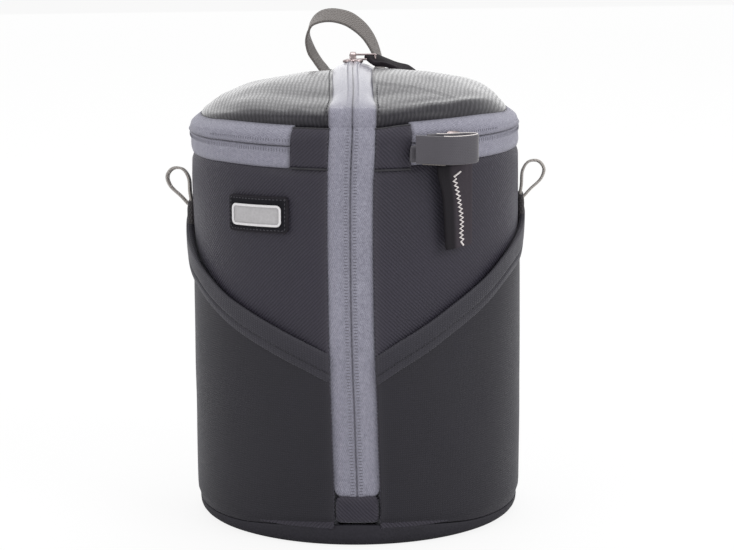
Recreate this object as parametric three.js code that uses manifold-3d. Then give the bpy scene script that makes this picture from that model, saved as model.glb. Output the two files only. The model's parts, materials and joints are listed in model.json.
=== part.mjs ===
// Padded lens pouch: a round soft case with a domed lid, a zip round its top and a zip down its front.
// Millimetres, +Z up, front towards -Y, origin at the centre of the flat underside.
// Angles run round the pouch in degrees from the front, and each half mirrors them by its side, -1 or 1.
import * as THREE from "three";
import { mergeVertices } from "three/addons/utils/BufferGeometryUtils.js";
import Module from "manifold-3d";

const wasm = await Module();
wasm.setup();

// Driving sizes
const GAP = 0.3; // between pieces that touch
const POCKET_RADIUS = 66.4; // outer face of the flat side pockets
const POCKET_CLOTH = 0.8;
const TWILL = 1.2;
const WALL_FOAM = 7;
const LINING = 0.8;
const SEAM_HEIGHT = 149; // top edge of the wall cloth
const LEFT = -1;
const RIGHT = 1;

// Radii of the wall's layers
const CLOTH_OUT = POCKET_RADIUS - POCKET_CLOTH - GAP;
const CLOTH_IN = CLOTH_OUT - TWILL;
const FOAM_OUT = CLOTH_IN - GAP;
const FOAM_IN = FOAM_OUT - WALL_FOAM;
const LINING_OUT = FOAM_IN - GAP;
const LINING_IN = LINING_OUT - LINING;

// Base
const BASE_RIM_HEIGHT = 7.2;
const BASE_FLOOR = 1.8;
const BASE_RIM_INSET = 0.4; // the rim stands this far inside the wall cloth
const BASE_ROUNDING = 4.2; // of the lower edge
const BASE_RIM_WALL = 1.8;
const WALL_FOOT = BASE_RIM_HEIGHT + GAP;

// Zips: the top zip has a lower and an upper tape, the front zip a left and a right one
const TAPE_WIDTH = 8.8; // what shows of the top zip's lower or upper tape
const TAPE_THICK = 1.2;
const TAPE_STANDOFF = 0.4; // the tapes stand this far proud of the wall cloth at the teeth
const TAPE_BACK_GAP = 0.7; // from the foam to the top zip's tapes
const ZIP_SPLIT = 0.15; // half the slit between two tapes
const FRONT_TAPE_HALF = 8.7;
const FRONT_TAPE_SINK = 0.2; // the front tape lies this far inside the wall cloth
const COIL_THICK = 1.8;
const COIL_WIDTH = 2.4;
const COIL_SETBACK = 0.2; // from the slit to the coil
const ZIP_HEIGHT = SEAM_HEIGHT + TAPE_WIDTH;
const TAPE_OUT = CLOTH_OUT + TAPE_STANDOFF;
const TAPE_IN = TAPE_OUT - TAPE_THICK;
const FRONT_TAPE_OUT = CLOTH_OUT - FRONT_TAPE_SINK;
const FRONT_TAPE_IN = FRONT_TAPE_OUT - TAPE_THICK;
const CLOTH_EDGE = FRONT_TAPE_HALF + GAP; // the wall cloth starts here, measured along X

// Angles
const HINGE_ANGLE = 156; // the halves turn here on the edge of the fixed back
const PANEL_END_ANGLE = 19.6; // the dark hinge panels reach from the front tape to here
const TOP_ZIP_ANGLE = 20; // the top zip starts here
const POCKET_END_ANGLE = 92;
const BACK_ANGLE = 180;
const ANGLE_STEP = 6; // degrees for each facet of a wall
const EDGE_GAP_ANGLE = THREE.MathUtils.radToDeg(GAP / 2 / CLOTH_IN);

// Front zip stop, the square at the foot of the front zip
const STOP_TOP = 20;

// Lid
const LID_SEAM_INSET = 4.2; // from the tapes' outer face in to the lid's seam
const LID_RISE = 14.4; // crown above the lid's seam
const LID_FOAM = 7;
const LID_SLOT = 0.3; // from the zip's middle up to the foot of the lid's pieces
const LID_SPLIT_REAR = 0.9; // half the slit between the lid halves at the back, where they pass each other
const LID_RIM_FOAM = 4.6;
const LID_RIM_HEIGHT = 5;
const LID_SEAM_RADIUS = TAPE_OUT - LID_SEAM_INSET;
const LID_SEAM_HEIGHT = ZIP_HEIGHT + TAPE_WIDTH;
const LID_SPHERE = (LID_SEAM_RADIUS ** 2 + LID_RISE ** 2) / (2 * LID_RISE);
const LID_CENTRE_Z = LID_SEAM_HEIGHT + LID_RISE - LID_SPHERE;
const LID_FOOT = ZIP_HEIGHT + LID_SLOT;
const LOWER_TOP = ZIP_HEIGHT - ZIP_SPLIT;

// Pocket hem
const HEM_HEIGHT = 10.8;
const HEM_THICK = 2.4;
const HEM_DROP_LEFT = 71.8; // from the wall's seam down to the hem's upper edge beside the front tape
const HEM_DROP_RIGHT = 71;
const HEM_RISE_LEFT = 44; // from there to its end at the side
const HEM_RISE_RIGHT = 46.5;
const HEM_SAG_LEFT = 3.8;
const HEM_SAG_RIGHT = 0;
const HEM_STEPS = 18;
const HEM_END_ANGLE = 90;
// Share of the way round to the side, and share of the rise
const HEM_SHARES = [[0, 0], [0.124, 0.16], [0.3, 0.357], [0.477, 0.52], [0.68, 0.7], [0.91, 0.87], [1, 1]];

// Label on the left half
const LABEL_START_ANGLE = 22.5;
const LABEL_END_ANGLE = 47.6;
const LABEL_DROP = 26.4; // from the wall's seam down to its lower edge
const LABEL_TALL = 15.2;
const LABEL_LEAN = 1.6; // its outer end lies this much lower
const LABEL_THICK = 1.1;
const LABEL_FRAME_TALL = 9.2;
const LABEL_FRAME_ANGLE = 21;
const LABEL_FRAME_BAR = 1.1;
const LABEL_FRAME_THICK = 0.6;

// Webbing and loops
const SIDE_LOOP_WIDTH = 9;
const SIDE_LOOP_THICK = 1.3;
const SIDE_LOOP_LENGTH = 15.5;
const SIDE_LOOP_ABOVE = 2.4; // from the hem's end to the loop's root
const HANDLE_WIDTH = 10;
const HANDLE_THICK = 1.6;
const HANDLE_RISE = 47.4; // above its anchor
const HANDLE_FOOT_HALF = 10.5;
const HANDLE_ANCHOR_HALF = 16.5;
const HANDLE_STANDOFF = 1.1; // from the back tape to the middle of the webbing
const HANDLE_LOOP_STANDOFF = 6.8;
const HANDLE_ANCHOR_TALL = 13.5;
const HANDLE_ANCHOR_THICK = 2.6;
const END_LOOP_TALL = 11.2;
const END_LOOP_THICK = 1.3;
const END_LOOP_DROP = 7; // from the zip's middle down to its lower edge
const END_LOOP_LOW = ZIP_HEIGHT - END_LOOP_DROP;
const END_LOOP_ANGLE = 18; // where its foot starts
const END_PATCH_THICK = 2.1; // the doubled cloth under its foot
const END_PATCH_SPAN = 4; // degrees

// Belt strap on the back
const BELT_PAD_HALF = 21;
const BELT_PAD_DROP = 17; // from the wall's seam down to the pad
const BELT_PAD_TALL = 90;
const BELT_PAD_THICK = 4; // flat back face behind the wall cloth
const BELT_WIDTH = 38;
const BELT_THICK = 1.6;
const BELT_ROOM_DEPTH = 5.4; // room for a belt
const BELT_ANCHOR_TALL = 6;
const BELT_ANCHOR_THICK = 2.4;
const BELT_LENGTH = 80;

// Sliders and pulls
const SLIDER_LENGTH = 9;
const SLIDER_WIDTH = 7.4;
const SLIDER_THICK = 1.6;
const SLIDER_GAP = 0.9; // over the top zip's tapes, so that the lid's tape can lift past it
const CROWN_SLIDER_GAP = 0.4;
const BAIL_WIRE = 0.9;
const BAIL_BAR = 1.2;
const TOP_BAIL_ROOM = 1.2; // under the bail's bar
const CROWN_BAIL_ROOM = 2.2;
const LINK_WIDTH = 2.4;
const LINK_THICK = 0.6;
const LINK_SLACK = 0.35;
const TOP_LINK_DROP = 9.6; // from the bail's bar to the far end of the link
const CROWN_LINK_DROP = 7.5;
const TOP_SLIDER_ANGLE = 35;
const CROWN_SLIDER_ANGLE = 8; // behind the crown's top
const TAB_WIDTH = 12;
const TAB_THICK = 2.2;
const TOP_TAB_LENGTH = 34;
const CROWN_TAB_LENGTH = 22;
const TAB_CHEEK = 1.2; // the tab reaches this far past its pivot
const TAB_SLOT_DEPTH = 3.6;
const CROWN_PULL_DROOP = 9; // degrees, so that the pull lies along the lid

const OVERRUN = 30; // cutters run this far past what they cut

// Colours
const MATERIALS = {
  twill: new THREE.MeshStandardMaterial({ color: 0x3f3d43, roughness: 0.75, metalness: 0 }),
  stretch: new THREE.MeshStandardMaterial({ color: 0x353439, roughness: 0.9, metalness: 0 }),
  hem: new THREE.MeshStandardMaterial({ color: 0x3b3a3f, roughness: 0.85, metalness: 0 }),
  tape: new THREE.MeshStandardMaterial({ color: 0x8b8a97, roughness: 0.8, metalness: 0 }),
  coil: new THREE.MeshStandardMaterial({ color: 0x55545e, roughness: 0.5, metalness: 0 }),
  foam: new THREE.MeshStandardMaterial({ color: 0x9a9a9a, roughness: 0.95, metalness: 0 }),
  lining: new THREE.MeshStandardMaterial({ color: 0x8f9094, roughness: 0.8, metalness: 0 }),
  webbing: new THREE.MeshStandardMaterial({ color: 0x8a8582, roughness: 0.85, metalness: 0 }),
  strap: new THREE.MeshStandardMaterial({ color: 0x4a484d, roughness: 0.5, metalness: 0 }),
  rubber: new THREE.MeshStandardMaterial({ color: 0x1f1f24, roughness: 0.6, metalness: 0 }),
  frame: new THREE.MeshStandardMaterial({ color: 0xd8d8d8, roughness: 0.6, metalness: 0 }),
  metal: new THREE.MeshStandardMaterial({ color: 0xb0a8a4, roughness: 0.3, metalness: 1 }),
};

// Helpers

const pouch = new THREE.Group();

function addNode(name, geometry, material) {
  const mesh = new THREE.Mesh(geometry, material);
  mesh.name = name;
  pouch.add(mesh);
  return mesh;
}

function onRing(side, angle, radius) {
  const turn = THREE.MathUtils.degToRad(angle);
  return [side * radius * Math.sin(turn), -radius * Math.cos(turn)];
}

// The angle at which a circle of this radius passes a distance X from the middle plane.
function angleAtX(x, radius) {
  return THREE.MathUtils.radToDeg(Math.asin(x / radius));
}

function anglesBetween(from, to, step = ANGLE_STEP) {
  const count = Math.max(1, Math.ceil((to - from) / step));
  return Array.from({ length: count + 1 }, (_, i) => from + ((to - from) * i) / count);
}

// The geometry with its faces turned outwards.
function facingOut(geometry) {
  const p = geometry.getAttribute("position");
  const index = geometry.index.array;
  const [a, b, c] = [new THREE.Vector3(), new THREE.Vector3(), new THREE.Vector3()];
  let volume = 0;
  for (let i = 0; i < index.length; i += 3) {
    a.fromBufferAttribute(p, index[i]);
    b.fromBufferAttribute(p, index[i + 1]);
    c.fromBufferAttribute(p, index[i + 2]);
    volume += a.dot(b.cross(c));
  }
  if (volume < 0) {
    for (let i = 0; i < index.length; i += 3) {
      [index[i + 1], index[i + 2]] = [index[i + 2], index[i + 1]];
    }
  }
  geometry.computeVertexNormals();
  return geometry;
}

// Triangles over a flat outline, wound the way that the outline runs.
function capFaces(outline) {
  const points = outline.map(([u, v]) => new THREE.Vector2(u, v));
  const turn = Math.sign(THREE.ShapeUtils.area(points));
  return THREE.ShapeUtils.triangulateShape(points, []).map(([i, j, k]) =>
    Math.sign(THREE.ShapeUtils.area([points[i], points[j], points[k]])) === turn ? [i, j, k] : [i, k, j],
  );
}

// A closed solid through rings of equally many points. The outlines give the flat shape of the two end rings.
function solidThrough(rings, firstOutline, lastOutline) {
  const n = rings[0].length;
  const index = [];
  for (let i = 0; i + 1 < rings.length; i++) {
    for (let j = 0; j < n; j++) {
      const k = (j + 1) % n;
      index.push(i * n + j, i * n + k, (i + 1) * n + j);
      index.push(i * n + k, (i + 1) * n + k, (i + 1) * n + j);
    }
  }
  const last = (rings.length - 1) * n;
  capFaces(firstOutline).forEach(([a, b, c]) => index.push(a, c, b));
  capFaces(lastOutline).forEach(([a, b, c]) => index.push(last + a, last + b, last + c));
  const geometry = new THREE.BufferGeometry();
  geometry.setAttribute("position", new THREE.Float32BufferAttribute(rings.flat(2), 3));
  geometry.setIndex(index);
  return facingOut(geometry);
}

// A piece of wall: a profile of [radius, height] points carried round the pouch through the angles.
function wall(side, angles, profileAt) {
  const profiles = angles.map((angle, i) => profileAt(angle, i));
  const rings = profiles.map((profile, i) => profile.map(([r, z]) => [...onRing(side, angles[i], r), z]));
  return solidThrough(rings, profiles[0], profiles[profiles.length - 1]);
}

// A wall of constant radius between two heights.
function plainWall(side, angles, inner, outer, low, high) {
  return wall(side, angles, () => [[inner, low], [outer, low], [outer, high], [inner, high]]);
}

// A full turn of a profile of [radius, height] points that starts and ends on the axis.
function turned(profile) {
  const points = profile.map(([r, z]) => new THREE.Vector2(r, z));
  const geometry = new THREE.LatheGeometry(points, Math.round(360 / ANGLE_STEP));
  return asGeometry(asSolid(geometry.rotateX(Math.PI / 2)));
}

function asSolid(geometry) {
  const loose = geometry.index ? geometry.toNonIndexed() : geometry;
  const bare = new THREE.BufferGeometry().setAttribute("position", loose.getAttribute("position"));
  const merged = mergeVertices(bare);
  const solid = new wasm.Manifold(
    new wasm.Mesh({
      numProp: 3,
      vertProperties: merged.getAttribute("position").array,
      triVerts: new Uint32Array(merged.index.array),
    }),
  );
  if (solid.volume() > 0) return solid;
  const index = merged.index.array;
  for (let i = 0; i < index.length; i += 3) [index[i + 1], index[i + 2]] = [index[i + 2], index[i + 1]];
  return asSolid(merged);
}

function asGeometry(solid) {
  const mesh = solid.getMesh();
  const geometry = new THREE.BufferGeometry();
  geometry.setAttribute("position", new THREE.Float32BufferAttribute(mesh.vertProperties, mesh.numProp));
  geometry.setIndex(Array.from(mesh.triVerts));
  geometry.computeVertexNormals();
  return geometry;
}

function cut(geometry, ...cutters) {
  return asGeometry(cutters.reduce((left, cutter) => left.subtract(asSolid(cutter)), asSolid(geometry)));
}

function joined(...geometries) {
  return asGeometry(geometries.map(asSolid).reduce((whole, piece) => whole.add(piece)));
}

// What two solids share.
function common(a, b) {
  return asGeometry(asSolid(a).intersect(asSolid(b)));
}

function boxBetween([x0, y0, z0], [x1, y1, z1]) {
  const box = new THREE.BoxGeometry(Math.abs(x1 - x0), Math.abs(y1 - y0), Math.abs(z1 - z0));
  return box.translate((x0 + x1) / 2, (y0 + y1) / 2, (z0 + z1) / 2);
}

// A flat outline of [u, v] points given thickness along w, with u, v and w as directions in the pouch.
function slab(outline, low, high, u, v, w) {
  const shape = new THREE.Shape(outline.map(([a, b]) => new THREE.Vector2(a, b)));
  const geometry = new THREE.ExtrudeGeometry(shape, { depth: high - low, bevelEnabled: false });
  geometry.translate(0, 0, low);
  geometry.applyMatrix4(new THREE.Matrix4().makeBasis(u, v, w));
  return asGeometry(asSolid(geometry));
}

const X = new THREE.Vector3(1, 0, 0);
const Y = new THREE.Vector3(0, 1, 0);
const Z = new THREE.Vector3(0, 0, 1);
const BACK = new THREE.Vector3(0, -1, 0);

// The outline of a strip of even thickness along a flat path.
function stripOutline(path, thick) {
  const side = (sign) =>
    path.map(([u, v], i) => {
      const [a, b] = [path[Math.max(0, i - 1)], path[Math.min(path.length - 1, i + 1)]];
      const length = Math.hypot(b[0] - a[0], b[1] - a[1]);
      const reach = (sign * thick) / 2 / length;
      return [u - (b[1] - a[1]) * reach, v + (b[0] - a[0]) * reach];
    });
  return [...side(1), ...side(-1).reverse()];
}

function smooth(points, steps) {
  const curve = new THREE.SplineCurve(points.map(([u, v]) => new THREE.Vector2(u, v)));
  return curve.getPoints(steps).map((p) => [p.x, p.y]);
}

// Base

function baseCup() {
  const outer = CLOTH_OUT - BASE_RIM_INSET;
  const flat = outer - BASE_ROUNDING;
  const rounding = [0, 1, 2, 3].map((i) => {
    const turn = (i * Math.PI) / 6;
    return [flat + BASE_ROUNDING * Math.sin(turn), BASE_ROUNDING * (1 - Math.cos(turn))];
  });
  const inner = outer - BASE_RIM_WALL;
  return turned([
    [0, 0],
    ...rounding,
    [outer, BASE_RIM_HEIGHT],
    [inner, BASE_RIM_HEIGHT],
    [inner, BASE_ROUNDING],
    [flat, BASE_FLOOR],
    [0, BASE_FLOOR],
  ]);
}

function disc(radius, low, high) {
  return turned([[0, low], [radius, low], [radius, high], [0, high]]);
}

const BASE_FOAM_RADIUS = CLOTH_OUT - BASE_RIM_INSET - BASE_ROUNDING - GAP;
const BASE_FOAM_TOP = BASE_RIM_HEIGHT - GAP;
addNode("base_cup", baseCup(), MATERIALS.twill);
addNode("base_foam", disc(BASE_FOAM_RADIUS, BASE_FLOOR + GAP, BASE_FOAM_TOP), MATERIALS.foam);
addNode(
  "base_lining",
  disc(LINING_IN - GAP, BASE_FOAM_TOP + GAP, BASE_FOAM_TOP + GAP + LINING),
  MATERIALS.lining,
);

// Wall layers, shared by the two halves and the fixed back

const COIL_LOW = LOWER_TOP - COIL_SETBACK - COIL_WIDTH;
const COIL_OUT = TAPE_IN - GAP;
const COIL_IN = COIL_OUT - COIL_THICK;

// The foam steps in behind the coil of the top zip.
function foamProfile() {
  const stepZ = COIL_LOW - GAP;
  const stepR = COIL_IN - GAP;
  return [
    [FOAM_IN, WALL_FOOT],
    [FOAM_OUT, WALL_FOOT],
    [FOAM_OUT, stepZ],
    [stepR, stepZ],
    [stepR, LOWER_TOP],
    [FOAM_IN, LOWER_TOP],
  ];
}

function lowerTapeProfile() {
  const low = SEAM_HEIGHT + GAP;
  const middle = (low + LOWER_TOP) / 2;
  return [
    [FOAM_OUT + TAPE_BACK_GAP - GAP, low],
    [CLOTH_OUT, low],
    [TAPE_OUT, middle],
    [TAPE_OUT, LOWER_TOP],
    [TAPE_IN, LOWER_TOP],
    [TAPE_IN, middle],
  ];
}

function coilProfile(low) {
  return [[COIL_IN, low], [COIL_OUT, low], [COIL_OUT, low + COIL_WIDTH], [COIL_IN, low + COIL_WIDTH]];
}

// Fixed back: the strip of wall between the two hinge lines

const backStart = HINGE_ANGLE + EDGE_GAP_ANGLE;
const backAngles = anglesBetween(backStart, 2 * BACK_ANGLE - backStart);
const backCloth = plainWall(RIGHT, backAngles, CLOTH_IN, CLOTH_OUT, WALL_FOOT, SEAM_HEIGHT);
const backLining = plainWall(RIGHT, backAngles, LINING_IN, LINING_OUT, WALL_FOOT, LOWER_TOP);
addNode("back_cloth", backCloth, MATERIALS.twill);
addNode("back_foam", wall(RIGHT, backAngles, foamProfile), MATERIALS.foam);
addNode("back_lining", backLining, MATERIALS.lining);
addNode("back_zip_tape", wall(RIGHT, backAngles, lowerTapeProfile), MATERIALS.tape);
addNode("back_zip_coil", wall(RIGHT, backAngles, () => coilProfile(COIL_LOW)), MATERIALS.coil);

// Front zip stop, as thick as the wall, closing its foot

function zipStop() {
  const end = angleAtX(FRONT_TAPE_HALF, CLOTH_OUT);
  return plainWall(RIGHT, anglesBetween(-end, end), LINING_IN, CLOTH_OUT, WALL_FOOT, STOP_TOP - GAP);
}

addNode("front_zip_stop", zipStop(), MATERIALS.twill);

// Wall halves

function hemLine(side) {
  const start = angleAtX(CLOTH_EDGE, CLOTH_OUT);
  const drop = side === LEFT ? HEM_DROP_LEFT : HEM_DROP_RIGHT;
  const rise = side === LEFT ? HEM_RISE_LEFT : HEM_RISE_RIGHT;
  const sag = side === LEFT ? HEM_SAG_LEFT : HEM_SAG_RIGHT;
  return smooth(HEM_SHARES, HEM_STEPS).map(([along, up]) => [
    start + along * (HEM_END_ANGLE - start),
    SEAM_HEIGHT - drop + up * rise - sag * Math.sin(Math.PI * along),
  ]);
}

function pocketHem(side) {
  const line = hemLine(side);
  const inner = CLOTH_OUT + GAP;
  const outer = inner + HEM_THICK;
  const round = HEM_THICK / 3;
  const angles = line.map(([angle]) => angle);
  return wall(side, angles, (angle, i) => [
    [inner, line[i][1] - HEM_HEIGHT],
    [outer - round, line[i][1] - HEM_HEIGHT],
    [outer, line[i][1] - HEM_HEIGHT + round],
    [outer, line[i][1] - round],
    [outer - round, line[i][1]],
    [inner, line[i][1]],
  ]);
}

function pocket(side) {
  const line = [...hemLine(side)];
  line.push([POCKET_END_ANGLE, line[line.length - 1][1]]);
  const angles = line.map(([angle]) => angle);
  return wall(side, angles, (angle, i) => [
    [CLOTH_OUT + GAP, WALL_FOOT],
    [POCKET_RADIUS, WALL_FOOT],
    [POCKET_RADIUS, line[i][1] - HEM_HEIGHT - GAP],
    [CLOTH_OUT + GAP, line[i][1] - HEM_HEIGHT - GAP],
  ]);
}

function wallHalf(side, name) {
  const end = HINGE_ANGLE - EDGE_GAP_ANGLE;
  const fromSlit = anglesBetween(angleAtX(ZIP_SPLIT, FOAM_OUT), end);
  const fromEdge = anglesBetween(angleAtX(CLOTH_EDGE, CLOTH_OUT), end);
  const fromZip = anglesBetween(TOP_ZIP_ANGLE, end);
  const stopRoom = boxBetween(
    [-CLOTH_EDGE, -POCKET_RADIUS - OVERRUN, WALL_FOOT - OVERRUN],
    [CLOTH_EDGE, -LINING_IN + OVERRUN, STOP_TOP],
  );
  const coilBack = FRONT_TAPE_IN - GAP - COIL_THICK;
  const coilEdge = COIL_SETBACK + COIL_WIDTH;
  const coilRoom = boxBetween(
    [-coilEdge - GAP, -POCKET_RADIUS - OVERRUN, STOP_TOP - OVERRUN],
    [coilEdge + GAP, -coilBack + GAP, ZIP_HEIGHT + OVERRUN],
  );
  addNode(
    `${name}_cloth`,
    plainWall(side, fromEdge, CLOTH_IN, CLOTH_OUT, WALL_FOOT, SEAM_HEIGHT),
    MATERIALS.twill,
  );
  addNode(`${name}_foam`, cut(wall(side, fromSlit, foamProfile), stopRoom, coilRoom), MATERIALS.foam);
  addNode(
    `${name}_lining`,
    cut(plainWall(side, fromSlit, LINING_IN, LINING_OUT, WALL_FOOT, LOWER_TOP), stopRoom),
    MATERIALS.lining,
  );
  addNode(`${name}_pocket`, pocket(side), MATERIALS.stretch);
  addNode(`${name}_pocket_hem`, pocketHem(side), MATERIALS.hem);
  addNode(`${name}_zip_tape`, wall(side, fromZip, lowerTapeProfile), MATERIALS.tape);
  addNode(`${name}_zip_coil`, wall(side, fromZip, () => coilProfile(COIL_LOW)), MATERIALS.coil);
  const panel = anglesBetween(angleAtX(CLOTH_EDGE, TAPE_OUT), PANEL_END_ANGLE);
  addNode(`${name}_hinge_panel`, wall(side, panel, lowerTapeProfile), MATERIALS.twill);
  const tapeEdge = angleAtX(FRONT_TAPE_HALF, FRONT_TAPE_OUT);
  const tape = anglesBetween(angleAtX(ZIP_SPLIT, FRONT_TAPE_OUT), tapeEdge);
  addNode(
    `${name}_front_tape`,
    plainWall(side, tape, FRONT_TAPE_IN, FRONT_TAPE_OUT, STOP_TOP, LOWER_TOP),
    MATERIALS.tape,
  );
  const coil = boxBetween(
    [side * COIL_SETBACK, -coilBack, STOP_TOP],
    [side * coilEdge, -coilBack - COIL_THICK, LOWER_TOP],
  );
  addNode(`${name}_front_coil`, coil, MATERIALS.coil);
}

wallHalf(LEFT, "left");
wallHalf(RIGHT, "right");

// Lid halves

function crown(radius, inset) {
  return LID_CENTRE_Z + Math.sqrt((LID_SPHERE - inset) ** 2 - radius ** 2);
}

function crownArc(from, to, inset, steps) {
  return Array.from({ length: steps + 1 }, (_, i) => {
    const r = from + ((to - from) * i) / steps;
    return [r, crown(r, inset)];
  });
}

const CROWN_STEPS = 5;
const LID_FOAM_TOP = TWILL + GAP; // inset of the foam's upper face
const LID_FOAM_UNDER = LID_FOAM_TOP + LID_FOAM;
const LID_LINING_TOP = LID_FOAM_UNDER + GAP;
const LID_SHOULDER = 1.4; // the foam's edge keeps this far inside the lid's seam
const RIM_INNER = COIL_IN - GAP - LID_RIM_FOAM;

// One half of a turned lid piece. The slit widens towards the back.
function lidHalf(side, geometry) {
  const far = POCKET_RADIUS + OVERRUN;
  const outline = [
    [side * ZIP_SPLIT, -far],
    [side * LID_SPLIT_REAR, far],
    [side * far, far],
    [side * far, -far],
  ];
  return common(geometry, slab(outline, 0, LID_SEAM_HEIGHT + LID_RISE + OVERRUN, X, Y, Z));
}

function lidCloth() {
  return turned([
    ...crownArc(0, LID_SEAM_RADIUS, TWILL, CROWN_STEPS),
    ...crownArc(LID_SEAM_RADIUS, 0, 0, CROWN_STEPS),
  ]);
}

function lidFoam() {
  const coilTop = LID_FOOT + COIL_SETBACK + COIL_WIDTH + GAP;
  const edge = LID_SEAM_RADIUS - LID_SHOULDER;
  return turned([
    ...crownArc(0, RIM_INNER - LID_RIM_HEIGHT / 2, LID_FOAM_UNDER, CROWN_STEPS),
    [RIM_INNER, LID_FOOT],
    [COIL_IN - GAP, LID_FOOT],
    [COIL_IN - GAP, coilTop],
    [FOAM_OUT - TAPE_BACK_GAP, coilTop],
    ...crownArc(edge, 0, LID_FOAM_TOP, CROWN_STEPS),
  ]);
}

function lidLining() {
  const edge = RIM_INNER - LID_RIM_HEIGHT / 2 - GAP;
  return turned([
    ...crownArc(0, edge - LINING, LID_LINING_TOP + LINING, CROWN_STEPS),
    [RIM_INNER - GAP - LINING, LID_FOOT],
    [RIM_INNER - GAP, LID_FOOT],
    ...crownArc(edge, 0, LID_LINING_TOP, CROWN_STEPS),
  ]);
}

const UPPER_TAPE_BEND = LID_FOOT + COIL_SETBACK + COIL_WIDTH + GAP; // the upper tape is upright to here
const UPPER_TAPE_LEAN = 1.1; // halfway from there up, it has drawn in this far

function upperTapeProfile() {
  const top = crown(LID_SEAM_RADIUS, 0) - TWILL - GAP;
  const middle = (UPPER_TAPE_BEND + top) / 2;
  return [
    [TAPE_IN, LID_FOOT],
    [TAPE_OUT, LID_FOOT],
    [TAPE_OUT, UPPER_TAPE_BEND],
    [TAPE_OUT - UPPER_TAPE_LEAN, middle],
    [LID_SEAM_RADIUS + TAPE_THICK, top],
    [LID_SEAM_RADIUS, top],
    [TAPE_IN - UPPER_TAPE_LEAN, middle],
    [TAPE_IN, UPPER_TAPE_BEND],
  ];
}

// The front tape's outline seen from the side, from the hinge line up and over the crown.
function lidFrontTape(side) {
  const over = (inset) => {
    const radius = LID_SEAM_RADIUS - inset;
    const rise = [
      [-FRONT_TAPE_OUT + inset, LID_FOOT],
      [-FRONT_TAPE_OUT + UPPER_TAPE_LEAN / 2 + inset, LID_FOOT + TAPE_WIDTH / 2],
    ];
    const arc = crownArc(-radius, LID_SEAM_RADIUS, inset, CROWN_STEPS * 3);
    return [...rise, ...arc];
  };
  const outline = [...over(0), ...over(TAPE_THICK).reverse()];
  return lidHalf(side, slab(outline, -FRONT_TAPE_HALF, FRONT_TAPE_HALF, Y, Z, X));
}

function lidPieces(side, name) {
  const beside = (geometry) => {
    const far = POCKET_RADIUS + OVERRUN;
    const top = LID_SEAM_HEIGHT + LID_RISE + OVERRUN;
    return common(geometry, boxBetween([side * CLOTH_EDGE, -far, 0], [side * far, far, top]));
  };
  addNode(`${name}_lid_cloth`, beside(lidCloth()), MATERIALS.twill);
  addNode(`${name}_lid_foam`, lidHalf(side, lidFoam()), MATERIALS.foam);
  addNode(`${name}_lid_lining`, lidHalf(side, lidLining()), MATERIALS.lining);
  addNode(`${name}_lid_front_tape`, lidFrontTape(side), MATERIALS.tape);
  const round = anglesBetween(TOP_ZIP_ANGLE, BACK_ANGLE);
  addNode(`${name}_lid_zip_tape`, lidHalf(side, wall(side, round, upperTapeProfile)), MATERIALS.tape);
  addNode(
    `${name}_lid_zip_coil`,
    lidHalf(side, wall(side, round, () => coilProfile(LID_FOOT + COIL_SETBACK))),
    MATERIALS.coil,
  );
  const panel = anglesBetween(angleAtX(CLOTH_EDGE, LID_SEAM_RADIUS), PANEL_END_ANGLE);
  addNode(`${name}_lid_hinge_panel`, wall(side, panel, upperTapeProfile), MATERIALS.twill);
}

lidPieces(LEFT, "left");
lidPieces(RIGHT, "right");

// Label: a rubber patch with a raised frame, bare inside

function labelBand(inset, thick, radius) {
  const middle = (LABEL_START_ANGLE + LABEL_END_ANGLE) / 2;
  const centre = SEAM_HEIGHT - LABEL_DROP + LABEL_TALL / 2;
  const [half, tall] = inset;
  const leanAt = (angle) => (LABEL_LEAN * (middle - angle)) / (LABEL_END_ANGLE - LABEL_START_ANGLE);
  return wall(LEFT, anglesBetween(middle - half, middle + half), (angle) => {
    const z = centre + leanAt(angle);
    const [low, high] = [z - tall / 2, z + tall / 2];
    return [[radius, low], [radius + thick, low], [radius + thick, high], [radius, high]];
  });
}

function labelFrame() {
  const radius = CLOTH_OUT + GAP + LABEL_THICK + GAP;
  const bar = THREE.MathUtils.radToDeg(LABEL_FRAME_BAR / radius);
  const outer = labelBand([LABEL_FRAME_ANGLE / 2, LABEL_FRAME_TALL], LABEL_FRAME_THICK, radius);
  const inner = [LABEL_FRAME_ANGLE / 2 - bar, LABEL_FRAME_TALL - 2 * LABEL_FRAME_BAR];
  return cut(outer, labelBand(inner, LABEL_FRAME_THICK + 2 * GAP, radius - GAP));
}

const LABEL_HALF_ANGLE = (LABEL_END_ANGLE - LABEL_START_ANGLE) / 2;
const labelPatch = labelBand([LABEL_HALF_ANGLE, LABEL_TALL], LABEL_THICK, CLOTH_OUT + GAP);
addNode("label_patch", labelPatch, MATERIALS.rubber);
addNode("label_frame", labelFrame(), MATERIALS.frame);

// Side loops: webbing folded double, sewn in at the end of the pocket hem

// Places along and across the loop, as shares of its length
const SIDE_LOOP_SHARES = [[0, 0.055], [0.25, 0.13], [0.6, 0.26], [0.88, 0.22], [1, 0], [0.88, -0.22],
  [0.6, -0.26], [0.25, -0.13], [0, -0.055]];
const SIDE_LOOP_STEPS = 24;
const SIDE_LOOP_LEAN = 25; // degrees off upright

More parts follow.
